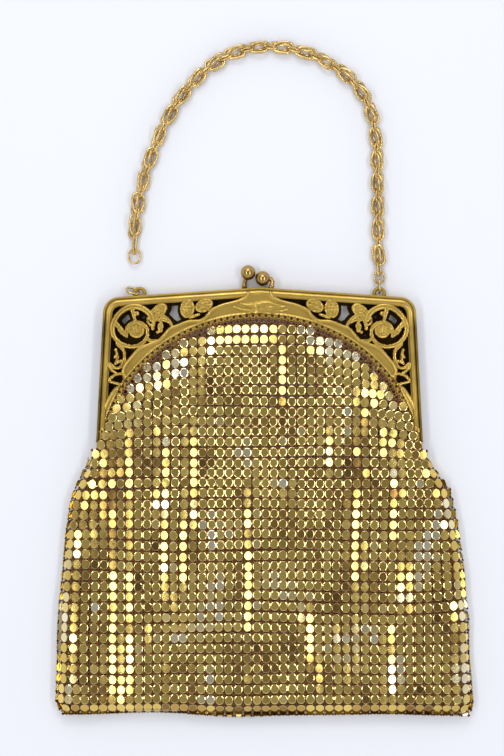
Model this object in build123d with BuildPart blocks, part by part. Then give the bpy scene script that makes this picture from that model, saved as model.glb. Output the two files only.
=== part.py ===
from build123d import *
import math
import os

# A metal mesh purse lying on its back, in mm
# Origin between the legs, a little above the frame hinges, on the surface it lies on
# +Y runs up through the clasp, +Z points out of the front face

# Frame outline: a flared U with a shallow peak at the clasp
frame_peak_y = 52.65
frame_shoulder_y = 49.0
frame_shoulder_x = 53.3
leg_flare = 3.05
leg_foot_y = -0.4
rib_foot_y = 5.6
corner_radius = 5.6
corner_steps = 4
bar_width = 3.15
frame_bottom_y = -10.0

# Frame section: two halves on either side of the parting plane
half_depth = 3.1
parting_gap = 0.2
bar_face_drop = 0.55
flange_width = 0.6
flange_drop = 0.2
rib_inset = 1.1
rib_inner_margin = 0.2
parting_z = half_depth + parting_gap / 2
front_z = parting_z + parting_gap / 2
face_z = front_z + half_depth

# Pierced plate between the bar and the arch
plate_thickness = 1.2
plate_drop = 0.35
plate_edge_inset = 1.0
arch_top_drop = 9.65
arch_side_inset = 2.37
arch_centre_y = -5.0
arch_sides = 44
band_gap = 0.9
band_width = 1.5
band_drop = 0.1
relief_drop = 0.05
plate_top_z = face_z - plate_drop
plate_low_z = plate_top_z - plate_thickness
arch_height = frame_peak_y - arch_top_drop - arch_centre_y
arch_half_width = frame_shoulder_x + (frame_shoulder_y - arch_centre_y) * math.tan(math.radians(leg_flare)) - arch_side_inset
band_edge = [
    (-0.4, -38.0),
    (-0.7, -35.0),
    (-2.9, -31.4),
    (-5.9, -28.6),
    (-6.6, -22.6),
    (-9.4, -19.0),
    (-11.3, -16.7),
    (-14.2, -15.3),
    (-18.4, -14.0),
    (-20.0, -12.2),
    (-22.1, -9.7),
    (-28.3, -7.4),
    (-33.0, -7.2),
    (-34.8, -6.0),
    (-36.4, -3.5),
    (-40.2, -1.8),
    (-44.5, -0.8),
    (-48.3, 0.4),
    (-48.7, 2.0),
]

# Perforated rail behind the arch, where the mesh is wired on
rail_thickness = 0.7
rail_above_holes = 2.2
rail_below_holes = 1.2
rail_side_gap = 0.1
rail_hole = 1.1
rail_hole_pitch = 2.75
rail_hole_sides = 4
rail_arc = 73.0
rail_low_z = plate_low_z - rail_thickness

# Hinge at each leg foot: one ear from each half, side by side, and a rivet
hinge_y = -3.5
ear_radius = 2.6
ear_sides = 14
ear_thickness = 1.3
ear_gap = 0.2
ear_inset = 0.35
ear_web_height = 2.3
rivet_diameter = 1.6
rivet_clearance = 0.05
rivet_head_diameter = 2.5
rivet_head_sides = 10
rivet_head_thickness = 0.45

# Clasp: two balls that snap past each other
ball_diameter = 5.2
ball_faces = 8
left_ball_x = -3.9
left_ball_y = 57.8
right_ball_x = 1.1
right_ball_y = 55.8
clasp_stem_diameter = 1.7
clasp_stem_sides = 8
left_stem_foot_x = -5.2
right_stem_foot_x = 3.7
right_stem_bow_x = 4.6
saddle_width = 4.0
saddle_height = 0.7
saddle_depth = 2.0

# Chain lugs on the back half's top edge
lug_x = 41.2
lug_radius = 2.5
lug_sides = 16
lug_hole_sides = 10
lug_thickness = 0.9
lug_hole_diameter = 1.9
lug_hole_rise = 1.0
lug_centre_z = 2.2

# Oval link through each lug
lug_link_length = 5.5
lug_link_height = 3.8
lug_link_wire = 0.75
left_link_lie = 72.0

# Chain: pairs of oval links, joined by short upright links
pair_count = 23
link_length = 7.8
link_width = 4.2
link_wire = 0.85
link_thickness = 0.8
link_spread = 0.48
link_skew = 9.0
joiner_inner_length = 2.4
joiner_inner_height = 2.1
joiner_wire = 0.65
chain_z = joiner_inner_height / 2 + joiner_wire + 0.05
chain_points = [
    (-42.9, 73.6),
    (-37.4, 97.5),
    (-25.5, 120.2),
    (-7.1, 134.1),
    (9.9, 135.1),
    (26.0, 128.7),
    (36.8, 117.2),
    (40.5, 95.7),
    (41.0, 64.4),
]

# End rings of the chain
right_ring_length = 5.0
right_ring_width = 4.2
loose_ring_length = 5.6
loose_ring_width = 4.7
ring_wire = 0.75
right_ring_y = 56.3
loose_ring_x = -43.0
loose_ring_y = 63.5
ring_play = 0.3

# Mesh bag: its outline, walls, folds and columns of plaques
bag_left_side = [(-57.6, -5.8), (-61.9, -13.4), (-65.3, -27.1), (-67.4, -40.8), (-68.8, -68.3)]
bag_right_side = [(71.9, -68.3), (69.1, -40.8), (66.7, -27.1), (62.9, -13.4), (57.9, -5.8)]
bag_left_corner = [(-69.8, -88.8), (-68.2, -91.8), (-65.7, -93.3)]
bag_right_corner = [(70.5, -93.3), (72.4, -91.8), (73.2, -88.8)]
bag_top_y = -6.7
bag_rim_reach = 9.0
back_wall = 0.8
front_wall = 0.9
side_wall = 1.2
rolled_edge_z = 2.6
rolled_edge_slope = 38.0
front_height = 8.2
fullest_y = -46.0
mouth_drop = 1.2
hem_drop = 1.8
fold_depth = 0.45
fold_pitch = 24.0
fold_start = 8.0
crease_x = 43.5
crease_width = 3.6
crease_depth = 0.9
plaque_pitch = 3.1
plaque_row_pitch = 3.53
column_ridge = 0.75
column_count = 47
first_column_x = -71.3
mesh_gap_size = 1.1
mesh_gap_columns = 10
mesh_gap_rows = 6
mesh_gap_first_column = 3
mesh_gap_column_step = 4
mesh_gap_row_step = 4
mesh_gap_lowest_y = -86.0

# Mesh panels inside the arch
panel_gap = 0.3
panel_side_gap = 0.55
panel_thickness = 1.0
yoke_foot_y = -3.1
far = 200.0


def leg_half_width(y):
    """Half width over the legs at height y."""
    return frame_shoulder_x + (frame_shoulder_y - y) * math.tan(math.radians(leg_flare))


def top_edge_y(x):
    """Height of the frame's top edge at x."""
    return frame_peak_y - (frame_peak_y - frame_shoulder_y) * abs(x) / frame_shoulder_x


def corner_points():
    """Steps round the rounded right-hand shoulder, from the leg to the top edge."""
    low_turn = math.radians(leg_flare)
    high_turn = math.atan2(frame_shoulder_x, frame_peak_y - frame_shoulder_y)
    back = corner_radius / (1 + math.cos(high_turn - low_turn))
    centre_x = frame_shoulder_x - back * (math.cos(low_turn) + math.cos(high_turn))
    centre_y = frame_shoulder_y - back * (math.sin(low_turn) + math.sin(high_turn))
    turns = [low_turn + (high_turn - low_turn) * step / corner_steps for step in range(corner_steps + 1)]
    return [(centre_x + corner_radius * math.cos(turn), centre_y + corner_radius * math.sin(turn)) for turn in turns]


def frame_face():
    """The whole area inside the frame's outer outline."""
    right_corner = corner_points()
    left_corner = [(-x, y) for x, y in reversed(right_corner)]
    half = leg_half_width(frame_bottom_y)
    with BuildSketch() as area:
        with BuildLine():
            Polyline(
                (half, frame_bottom_y),
                *right_corner,
                (0, frame_peak_y),
                *left_corner,
                (-half, frame_bottom_y),
                close=True,
            )
        make_face()
    return area.sketch


def frame_band(outer_inset, inner_inset, foot):
    """A U-shaped band that follows the frame's outline down to foot."""
    with BuildSketch() as band:
        offset(frame_face(), amount=-outer_inset, kind=Kind.INTERSECTION)
        offset(frame_face(), amount=-inner_inset, kind=Kind.INTERSECTION, mode=Mode.SUBTRACT)
        with Locations((0, foot)):
            Rectangle(far, far, align=(Align.CENTER, Align.MAX), mode=Mode.SUBTRACT)
    return band.sketch


def oval_points(half_width, half_height, sides):
    """Even points round an oval."""
    turns = [2 * math.pi * (step + 0.5) / sides for step in range(sides)]
    return [(half_width * math.cos(turn), half_height * math.sin(turn)) for turn in turns]


def arch_face(growth):
    """The area under the arch, with the line of wiring holes at growth 0."""
    with BuildSketch() as arch:
        with Locations((0, arch_centre_y)):
            Polygon(*oval_points(arch_half_width + growth, arch_height + growth, arch_sides))
    return arch.sketch


def arch_strip(low_growth, high_growth, inset, foot):
    """A strip along the arch, kept inside the frame's outline."""
    with BuildSketch() as strip:
        add(arch_face(high_growth))
        add(arch_face(low_growth), mode=Mode.SUBTRACT)
        offset(frame_face(), amount=-inset, kind=Kind.INTERSECTION, mode=Mode.INTERSECT)
        with Locations((0, foot)):
            Rectangle(far, far, align=(Align.CENTER, Align.MAX), mode=Mode.SUBTRACT)
    return strip.sketch


def oval_spot(x, y, width, height, turn, sides=6, mode=Mode.ADD):
    """One turned oval with flat sides in the current sketch."""
    with Locations(Location((x, y), turn)):
        Polygon(*oval_points(width / 2, height / 2, sides), mode=mode)


def band_area(foot):
    """The arch band and the sheet beside the legs, with the undulating upper edge."""
    edge = [(frame_shoulder_x + x, frame_shoulder_y + y) for x, y in band_edge]
    with BuildSketch() as band:
        with BuildLine():
            Polyline(*edge, (0, edge[-1][1]), (0, foot), (leg_half_width(foot), foot), close=True)
        make_face()
        mirror(about=Plane.YZ)
        add(arch_face(band_gap), mode=Mode.SUBTRACT)
        offset(frame_face(), amount=-plate_edge_inset, kind=Kind.INTERSECTION, mode=Mode.INTERSECT)
    return band.sketch


def scroll_work():
    """Scrolls, rosette and leaves of the right-hand corner, from the shoulder, mirrored to the left."""
    with BuildSketch() as scrolls:
        with Locations((frame_shoulder_x, frame_shoulder_y)):
            oval_spot(-9.5, -10.0, 14.6, 15.2, 0, 12)
            oval_spot(-9.5, -10.0, 11.2, 11.8, 0, 10, Mode.SUBTRACT)
            oval_spot(-10.9, -11.1, 6.0, 5.8, 0, 8)
            oval_spot(-6.2, -10.7, 8.4, 1.6, 42, 4)
            oval_spot(-10.4, -6.4, 1.8, 8.6, 8, 4)
            oval_spot(-19.4, -4.1, 6.6, 3.8, -38)
            oval_spot(-21.9, -7.8, 7.0, 1.6, 50, 4)
            oval_spot(-17.6, -10.2, 2.0, 13.0, 8, 4)
            oval_spot(-28.5, -4.1, 4.8, 7.2, 8)
            oval_spot(-34.4, -3.0, 6.8, 4.6, -22)
            oval_spot(-6.6, -19.4, 1.8, 8.0, 12, 4)
            oval_spot(-3.9, -23.2, 5.6, 5.2, 0, 8)
            oval_spot(-3.9, -23.0, 3.0, 2.6, 0, 6, Mode.SUBTRACT)
            oval_spot(-3.6, -28.0, 6.0, 4.4, 20, 8)
            oval_spot(-3.8, -28.0, 3.6, 2.2, 20, 6, Mode.SUBTRACT)
        mirror(about=Plane.YZ)
        oval_spot(0.4, 45.6, 17.6, 3.2, 0)
    return scrolls.sketch


def raise_sketch(sketch, low_z, high_z):
    """Extrude a flat sketch between two heights."""
    with BuildSketch(Plane.XY.offset(low_z)) as flat:
        add(sketch)
    extrude(flat.sketch, amount=high_z - low_z)


# One half of the frame without its hinge ears, shown as the front half
with BuildPart() as frame_half:
    raise_sketch(frame_band(0, bar_width, leg_foot_y), front_z, face_z - bar_face_drop)
    raise_sketch(frame_band(0, flange_width, leg_foot_y), front_z, face_z - flange_drop)
    raise_sketch(frame_band(rib_inset, bar_width - rib_inner_margin, rib_foot_y), front_z, face_z)
    raise_sketch(band_area(leg_foot_y), plate_low_z, plate_top_z)
    raise_sketch(scroll_work(), plate_low_z, face_z - relief_drop)
    raise_sketch(
        arch_strip(band_gap, band_gap + band_width, bar_width / 2, rib_foot_y),
        plate_low_z,
        face_z - band_drop,
    )

# Hinge ears: the front half's lie outside the back half's
ear_outer_x = leg_half_width(hinge_y) - ear_inset
front_ear_x = ear_outer_x - ear_thickness
back_ear_x = front_ear_x - ear_gap - ear_thickness


def hinge_ears(inner_x, side):
    """A pair of ears with webs up to the legs of the half on this side of the parting plane."""
    for plane in (Plane.YZ.offset(inner_x), Plane.YZ.offset(-inner_x - ear_thickness)):
        with BuildSketch(plane) as ear:
            with Locations((hinge_y, parting_z)):
                RegularPolygon(ear_radius, ear_sides)
            with Locations((hinge_y, parting_z + side * (parting_gap / 2 + ear_web_height / 2))):
                Rectangle(leg_foot_y - hinge_y + bar_width / 2, ear_web_height, align=(Align.MIN, Align.CENTER))
            with Locations((hinge_y, parting_z)):
                Circle(rivet_diameter / 2 + rivet_clearance, mode=Mode.SUBTRACT)
        extrude(ear.sketch, amount=ear_thickness)


with BuildPart() as front_frame:
    add(frame_half.part)
    hinge_ears(front_ear_x, 1)
front_frame.part.label = "front_frame"

with BuildPart() as back_frame:
    mirror(frame_half.part, about=Plane.XY.offset(parting_z))
    hinge_ears(back_ear_x, -1)
back_frame.part.label = "back_frame"

# Perforated rails, one behind each arch
with BuildLine() as hole_line:
    EllipticalCenterArc((0, arch_centre_y), arch_half_width, arch_height, start_angle=90, arc_size=rail_arc)
half_hole_line = hole_line.edges()[0]
hole_count = int(half_hole_line.length / rail_hole_pitch)
hole_places = []
for step in range(hole_count):
    spot = half_hole_line.position_at((step + 0.5) * rail_hole_pitch, PositionMode.LENGTH)
    hole_places += [(spot.X, spot.Y), (-spot.X, spot.Y)]

with BuildPart() as front_mesh_rail:
    with BuildSketch(Plane.XY.offset(rail_low_z)):
        add(arch_strip(-rail_below_holes, rail_above_holes, bar_width + rail_side_gap, rib_foot_y))
        with Locations(*hole_places):
            RegularPolygon(rail_hole / 2, rail_hole_sides, mode=Mode.SUBTRACT)
    extrude(amount=rail_thickness)
front_mesh_rail.part.label = "front_mesh_rail"

with BuildPart() as back_mesh_rail:
    mirror(front_mesh_rail.part, about=Plane.XY.offset(parting_z))
back_mesh_rail.part.label = "back_mesh_rail"

# Hinge rivets through both ears
rivet_span = ear_outer_x - back_ear_x
with BuildPart() as right_hinge_rivet:
    with BuildSketch(Plane.YZ.offset(back_ear_x)):
        with Locations((hinge_y, parting_z)):
            Circle(rivet_diameter / 2)
    extrude(amount=rivet_span)
    with BuildSketch(Plane.YZ.offset(back_ear_x)):
        with Locations((hinge_y, parting_z)):
            RegularPolygon(rivet_head_diameter / 2, rivet_head_sides)
    extrude(amount=-rivet_head_thickness)
    with BuildSketch(Plane.YZ.offset(ear_outer_x)):
        with Locations((hinge_y, parting_z)):
            RegularPolygon(rivet_head_diameter / 2, rivet_head_sides)
    extrude(amount=rivet_head_thickness)
right_hinge_rivet.part.label = "right_hinge_rivet"

with BuildPart() as left_hinge_rivet:
    mirror(right_hinge_rivet.part, about=Plane.YZ)
left_hinge_rivet.part.label = "left_hinge_rivet"

# Clasp balls at the parting plane
left_ball_centre = Vector(left_ball_x, left_ball_y, parting_z)
right_ball_centre = Vector(right_ball_x, right_ball_y, parting_z)


def clasp_ball(centre):
    """A ball with flat facets, where three prisms meet."""
    with BuildPart() as ball:
        with BuildSketch(Plane.XY.offset(-ball_diameter)):
            RegularPolygon(ball_diameter / 2, ball_faces)
        extrude(amount=2 * ball_diameter)
        for plane in (Plane.XZ.offset(-ball_diameter), Plane.YZ.offset(-ball_diameter)):
            with BuildSketch(plane):
                RegularPolygon(ball_diameter / 2, ball_faces)
            extrude(amount=2 * ball_diameter, mode=Mode.INTERSECT)
    return ball.part.moved(Location(centre))


with BuildPart() as back_clasp_ball:
    add(clasp_ball(left_ball_centre))
back_clasp_ball.part.label = "back_clasp_ball"

with BuildPart() as front_clasp_ball:
    add(clasp_ball(right_ball_centre))
front_clasp_ball.part.label = "front_clasp_ball"

# Clasp stems, each from its own half of the frame to its ball
back_stem_z = half_depth / 2
front_stem_z = face_z - half_depth / 2
back_stem_foot = Vector(left_stem_foot_x, top_edge_y(left_stem_foot_x) + saddle_height / 2, back_stem_z)
with BuildPart() as back_clasp_stem:
    with BuildLine():
        back_stem_line = Line(back_stem_foot, left_ball_centre)
    with BuildSketch(Plane(back_stem_foot, z_dir=back_stem_line % 0)):
        RegularPolygon(clasp_stem_diameter / 2, clasp_stem_sides)
    sweep()
    with BuildSketch(Plane.XZ.offset(-top_edge_y(left_stem_foot_x))):
        with Locations((left_stem_foot_x, back_stem_z)):
            Rectangle(saddle_width, saddle_depth)
    extrude(amount=-saddle_height)
    add(back_clasp_ball.part, mode=Mode.SUBTRACT)
    add(back_frame.part, mode=Mode.SUBTRACT)
back_clasp_stem.part.label = "back_clasp_stem"

front_stem_foot = Vector(right_stem_foot_x, top_edge_y(right_stem_foot_x) - 0.1, front_stem_z)
front_stem_bow = Vector(right_stem_bow_x, (front_stem_foot.Y + right_ball_y) / 2, front_stem_z - 0.5)
with BuildPart() as front_clasp_stem:
    with BuildLine():
        front_stem_line = Polyline(front_stem_foot, front_stem_bow, right_ball_centre)
    with BuildSketch(Plane(front_stem_foot, z_dir=front_stem_line % 0)):
        RegularPolygon(clasp_stem_diameter / 2, clasp_stem_sides)
    sweep(transition=Transition.RIGHT)
    add(front_clasp_ball.part, mode=Mode.SUBTRACT)
    add(front_frame.part, mode=Mode.SUBTRACT)
front_clasp_stem.part.label = "front_clasp_stem"

# Lugs stand on the slanted top edge of the back half
top_slope = math.degrees(math.atan2(frame_peak_y - frame_shoulder_y, frame_shoulder_x))
with BuildPart() as right_chain_lug:
    lug_plane = Plane((lug_x, top_edge_y(lug_x), lug_centre_z)).rotated((0, 0, -top_slope))
    with BuildSketch(lug_plane.offset(-lug_thickness / 2)):
        RegularPolygon(lug_radius, lug_sides)
        Rectangle(far, far, align=(Align.CENTER, Align.MAX), mode=Mode.SUBTRACT)
        with Locations((0, lug_hole_rise)):
            RegularPolygon(lug_hole_diameter / 2, lug_hole_sides, mode=Mode.SUBTRACT)
    extrude(amount=lug_thickness)
right_chain_lug.part.label = "right_chain_lug"

with BuildPart() as left_chain_lug:
    mirror(right_chain_lug.part, about=Plane.YZ)
left_chain_lug.part.label = "left_chain_lug"

lug_hole_y = lug_plane.from_local_coords(Vector(0, lug_hole_rise, 0)).Y
lug_hole_x = lug_plane.from_local_coords(Vector(0, lug_hole_rise, 0)).X


def wire_ring(length, width, wire, thickness):
    """An oval of wire with cut corners, long along Y and centred on the current plane."""
    corner = width * 0.29
    with BuildSketch() as ring:
        outer = Rectangle(width, length)
        chamfer(outer.vertices(), corner)
    with BuildSketch() as hollow:
        inner = Rectangle(width - 2 * wire, length - 2 * wire)
        chamfer(inner.vertices(), corner - 0.5858 * wire)
    with BuildPart() as link:
        with BuildSketch(Plane.XY.offset(-thickness / 2)):
            add(ring.sketch)
            add(hollow.sketch, mode=Mode.SUBTRACT)
        extrude(amount=thickness)
    return link.part


# Oval links through the lugs, standing on edge
link_reach = lug_link_length / 2 - lug_link_wire / 2
with BuildPart() as right_lug_link:
    with Locations(Location((lug_hole_x, lug_hole_y, lug_centre_z))):
        with Locations(Location((0, link_reach, 0), (0, 90, 0))):
            add(wire_ring(lug_link_length, lug_link_height, lug_link_wire, lug_link_wire))
right_lug_link.part.label = "right_lug_link"

with BuildPart() as left_lug_link:
    with Locations(Location((-lug_hole_x, lug_hole_y, lug_centre_z), (0, 0, left_link_lie))):
        with Locations(Location((0, link_reach, 0), (0, 90, 0))):
            add(wire_ring(lug_link_length, lug_link_height, lug_link_wire, lug_link_wire))
left_lug_link.part.label = "left_lug_link"

# Chain: its line on the surface, and even steps along it
with BuildLine() as chain_line:
    Spline(*chain_points, tangents=((0.1, 1), (0.02, -1)))
chain_edge = chain_line.edges()[0]


def chain_place(step):
    """Place on the chain line, counted in pairs from the loose end, with Y along the chain."""
    share = step / (pair_count - 1)
    spot = chain_edge.position_at(share)
    along = chain_edge.tangent_at(share)
    turn = math.degrees(math.atan2(along.Y, along.X)) - 90
    return Location((spot.X, spot.Y, chain_z), (0, 0, turn))


oval_link = wire_ring(link_length, link_width, link_wire, link_thickness)
chain_pairs = []
for number in range(pair_count):
    with BuildPart() as chain_pair:
        with Locations(chain_place(number)):
            for level in (1, -1):
                with Locations(Location((0, 0, level * link_spread), (0, 0, level * link_skew))):
                    add(oval_link)
    chain_pair.part.label = f"chain_link_pair_{number + 1:02d}"
    chain_pairs.append(chain_pair.part)

# Upright links that join the pairs, and the longer ones at both ends
right_ring_x = lug_hole_x
pair_end = link_length / 2
first_place = chain_place(0).position
last_place = chain_place(pair_count - 1).position
loose_gap_low = loose_ring_y + loose_ring_length / 2 - ring_wire - ring_play
loose_gap_high = first_place.Y - pair_end + link_wire + ring_play
right_gap_low = right_ring_y + right_ring_length / 2 - ring_wire - ring_play
right_gap_high = last_place.Y - pair_end + link_wire + ring_play


def upright_joiner(inner_length):
    """A joining link on edge, long along Y."""
    length = inner_length + 2 * joiner_wire
    height = joiner_inner_height + 2 * joiner_wire
    with BuildPart() as joiner:
        with BuildSketch(Plane.YZ.offset(-joiner_wire / 2)):
            Rectangle(length, height)
            Rectangle(inner_length, joiner_inner_height, mode=Mode.SUBTRACT)
        extrude(amount=joiner_wire)
    return joiner.part


short_joiner = upright_joiner(joiner_inner_length)
with BuildPart() as chain_joining_links:
    for number in range(pair_count - 1):
        with Locations(chain_place(number + 0.5)):
            add(short_joiner)
    with Locations(Location(((loose_ring_x + first_place.X) / 2, (loose_gap_low + loose_gap_high) / 2, chain_z))):
        add(upright_joiner(loose_gap_high - loose_gap_low))
    with Locations(Location(((right_ring_x + last_place.X) / 2, (right_gap_low + right_gap_high) / 2, chain_z))):
        add(upright_joiner(right_gap_high - right_gap_low))
chain_joining_links.part.label = "chain_joining_links"

# Rings at the two ends of the chain, lying flat
with BuildPart() as right_end_ring:
    with Locations(Location((right_ring_x, right_ring_y, chain_z))):
        add(wire_ring(right_ring_length, right_ring_width, ring_wire, ring_wire))
right_end_ring.part.label = "right_end_ring"

with BuildPart() as left_loose_ring:
    with Locations(Location((loose_ring_x, loose_ring_y, chain_z))):
        add(wire_ring(loose_ring_length, loose_ring_width, ring_wire, ring_wire))
left_loose_ring.part.label = "left_loose_ring"


def fold_height(x):
    """Height of the front wall's crests at x."""
    wave = fold_depth * math.cos(2 * math.pi * (x - fold_start) / fold_pitch)
    crease = crease_depth * math.exp(-(((x - crease_x) / crease_width) ** 2))
    return front_height + wave - crease


def ridged_area(crest_height, ridge):
    """Section across the mesh: flat below, one ridge for each column of plaques above."""
    top = []
    for column in range(column_count + 1):
        x = first_column_x + column * plaque_pitch
        top.append((x, crest_height(x) - ridge))
        top.append((x + plaque_pitch / 2, crest_height(x + plaque_pitch / 2)))
    with BuildSketch() as area:
        with BuildLine():
            Polyline((top[0][0], -far / 10), *top, (top[-1][0], -far / 10), close=True)
        make_face()
    return area.sketch


def bag_area(inset):
    """Plan of the bag, moved inwards by inset and open past its mouth."""
    rim_left = (bag_left_side[0][0], bag_top_y + bag_rim_reach)
    rim_right = (bag_right_side[-1][0], bag_top_y + bag_rim_reach)
    with BuildSketch() as area:
        with BuildLine():
            Polyline(
                rim_left,
                *bag_left_side,
                *bag_left_corner,
                *bag_right_corner,
                *bag_right_side,
                rim_right,
                close=True,
            )
        make_face()
        if inset:
            offset(amount=-inset, kind=Kind.INTERSECTION, mode=Mode.REPLACE)
    return area.sketch


def front_block(crest_drop, ridge):
    """Solid under the front wall's crests, fullest in the middle and lower at mouth and hem."""
    section = ridged_area(lambda x: fold_height(x) - crest_drop, ridge)
    up_reach = bag_top_y - fullest_y
    down_reach = fullest_y - bag_right_corner[0][1]
    with BuildPart() as block:
        with BuildSketch(Plane.XZ.offset(-fullest_y)):
            add(section)
        extrude(amount=far / 2, dir=(0, 1, -mouth_drop / up_reach))
        with BuildSketch(Plane.XZ.offset(-fullest_y)):
            add(section)
        extrude(amount=far / 2, dir=(0, -1, -hem_drop / down_reach))
    return block.part


def bag_bulk(inset, floor_z, crest_drop, ridge):
    """Solid bag shape with rolled edges, cut off at the folded front surface."""
    with BuildPart() as bulk:
        with BuildSketch(Plane.XY.offset(floor_z)):
            add(bag_area(inset))
        extrude(amount=rolled_edge_z - floor_z)
        with BuildSketch(Plane.XY.offset(rolled_edge_z)):
            add(bag_area(inset))
        extrude(amount=front_height, taper=rolled_edge_slope)
        add(front_block(crest_drop, ridge), mode=Mode.INTERSECT)
    return bulk.part


panel_half_width = back_ear_x - rivet_head_thickness - panel_side_gap


def panel_area(foot):
    """Mesh inside the arch, clear of the rail and the hinges."""
    with BuildSketch() as area:
        add(arch_face(-rail_below_holes - panel_gap))
        with Locations((0, foot)):
            Rectangle(2 * panel_half_width, far, align=(Align.CENTER, Align.MIN), mode=Mode.INTERSECT)
    return area.sketch


# Gaps left between plaques of the front wall
mesh_gap_places = []
for row in range(mesh_gap_rows):
    for column in range(mesh_gap_columns):
        place = mesh_gap_first_column + (column + (row % 2) / 2) * mesh_gap_column_step
        along = first_column_x + place * plaque_pitch
        up = mesh_gap_lowest_y + row * mesh_gap_row_step * plaque_row_pitch
        mesh_gap_places.append(Location((along, up), 45))

# Mesh bag: front and back walls round a pocket, with the back panel running up into the arch
with BuildPart() as mesh_bag:
    add(bag_bulk(0, 0, 0, column_ridge))
    add(bag_bulk(side_wall, back_wall, front_wall + column_ridge, 0), mode=Mode.SUBTRACT)
    with Locations((0, bag_top_y, 0)):
        Box(far, far, far, align=(Align.CENTER, Align.MIN, Align.CENTER), mode=Mode.SUBTRACT)
    with BuildSketch():
        add(panel_area(bag_top_y - side_wall))
    extrude(amount=back_wall)
    with BuildSketch(Plane.XY.offset(rolled_edge_z)):
        with Locations(*mesh_gap_places):
            Rectangle(mesh_gap_size, mesh_gap_size)
    extrude(amount=front_height, mode=Mode.SUBTRACT)
mesh_bag.part.label = "mesh_bag"

# Front mesh yoke, from the front rail down to the hinge line
yoke_low_z = rail_low_z
with BuildPart() as mesh_front_yoke:
    with BuildSketch(Plane.XY.offset(yoke_low_z)):
        add(panel_area(yoke_foot_y))
    extrude(amount=panel_thickness + column_ridge)
    with BuildSketch(Plane.XZ.offset(-far / 2)):
        add(ridged_area(lambda x: yoke_low_z + panel_thickness + column_ridge / 2, column_ridge))
    extrude(amount=far, mode=Mode.INTERSECT)
mesh_front_yoke.part.label = "mesh_front_yoke"

# Write one file for each piece
pieces = [
    back_frame.part,
    front_frame.part,
    back_mesh_rail.part,
    front_mesh_rail.part,
    left_hinge_rivet.part,
    right_hinge_rivet.part,
    back_clasp_ball.part,
    front_clasp_ball.part,
    back_clasp_stem.part,
    front_clasp_stem.part,
    left_chain_lug.part,
    right_chain_lug.part,
    left_lug_link.part,
    right_lug_link.part,
    chain_joining_links.part,
    right_end_ring.part,
    left_loose_ring.part,
    mesh_bag.part,
    mesh_front_yoke.part,
    *chain_pairs,
]
os.makedirs("parts", exist_ok=True)
for piece in pieces:
    export_step(piece, f"parts/{piece.label}.step")
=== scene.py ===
import math

import bmesh
import bpy
import numpy as np
from mathutils import Matrix, Vector


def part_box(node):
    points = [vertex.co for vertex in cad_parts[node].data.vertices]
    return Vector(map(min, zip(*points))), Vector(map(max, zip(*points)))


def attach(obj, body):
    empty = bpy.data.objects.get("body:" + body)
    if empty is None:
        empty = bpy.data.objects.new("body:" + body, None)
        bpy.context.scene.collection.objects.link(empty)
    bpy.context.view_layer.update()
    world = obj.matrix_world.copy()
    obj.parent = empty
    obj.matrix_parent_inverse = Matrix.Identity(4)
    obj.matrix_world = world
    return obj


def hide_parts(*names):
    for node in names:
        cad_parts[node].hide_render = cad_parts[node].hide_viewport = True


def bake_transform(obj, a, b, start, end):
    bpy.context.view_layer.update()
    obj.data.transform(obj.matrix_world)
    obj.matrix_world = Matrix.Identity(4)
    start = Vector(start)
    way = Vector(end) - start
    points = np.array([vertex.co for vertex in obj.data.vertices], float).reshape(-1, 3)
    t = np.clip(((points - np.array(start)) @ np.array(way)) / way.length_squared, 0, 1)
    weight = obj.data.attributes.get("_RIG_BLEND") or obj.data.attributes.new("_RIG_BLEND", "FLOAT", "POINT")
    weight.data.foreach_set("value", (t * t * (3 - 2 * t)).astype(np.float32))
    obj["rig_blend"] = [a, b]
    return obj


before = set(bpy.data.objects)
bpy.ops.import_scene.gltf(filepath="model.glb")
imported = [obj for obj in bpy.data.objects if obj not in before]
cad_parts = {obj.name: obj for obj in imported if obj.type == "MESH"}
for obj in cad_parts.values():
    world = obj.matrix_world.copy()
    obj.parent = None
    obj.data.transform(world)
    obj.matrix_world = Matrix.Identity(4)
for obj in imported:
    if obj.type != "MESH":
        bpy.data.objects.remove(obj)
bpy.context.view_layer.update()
scene = bpy.context.scene
mm = 0.001
bpy.ops.object.select_all(action="DESELECT")

# Camera: the purse was photographed from straight above, so the camera looks down the Z axis.
view_centre = (-2.57 * mm, 21.6 * mm)
view_height = 259 * mm
lens = 85
sensor = 36
camera_data = bpy.data.cameras.new("overhead_camera")
camera_data.lens = lens
camera_data.sensor_width = sensor
camera_data.clip_start = 0.01
camera_data.clip_end = 20
camera = bpy.data.objects.new("overhead_camera", camera_data)
scene.collection.objects.link(camera)
camera.location = (view_centre[0], view_centre[1], view_height * lens / sensor + 5 * mm)
scene.camera = camera
scene.view_settings.view_transform = "Standard"

# Light: a room that is pale low down and dim overhead, dimmer left and right than up and down the table,
# with a long soft box on each side and one beyond the clasp. Metal shows this room in its folds.
world = bpy.data.worlds.new("studio_room")
scene.world = world
world.use_nodes = True
tree = world.node_tree
tree.nodes.clear()


def add_node(tree, kind, inputs=(), **settings):
    """A new node with its settings, and with a value or a link for each input that is named."""
    node = tree.nodes.new(kind)
    for setting, value in settings.items():
        setattr(node, setting, value)
    for socket, part in dict(inputs).items():
        if isinstance(part, bpy.types.NodeSocket):
            tree.links.new(part, node.inputs[socket])
        else:
            node.inputs[socket].default_value = part
    return node


direction = add_node(tree, "ShaderNodeTexCoord")
split = add_node(tree, "ShaderNodeSeparateXYZ", {0: direction.outputs["Generated"]})


def room_levels(levels):
    """Brightness of the room by height: pairs of the direction's Z and a level."""
    ramp = add_node(tree, "ShaderNodeValToRGB", {"Fac": split.outputs["Z"]})
    stops = ramp.color_ramp.elements
    for stop, (position, level), blue in ((stops[0], levels[0], 1.04), (stops[1], levels[-1], 1.02)):
        stop.position = position
        stop.color = (level, level, level * blue, 1)
    for position, level in levels[1:-1]:
        stops.new(position).color = (level, level, level * 1.03, 1)
    return ramp


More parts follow.
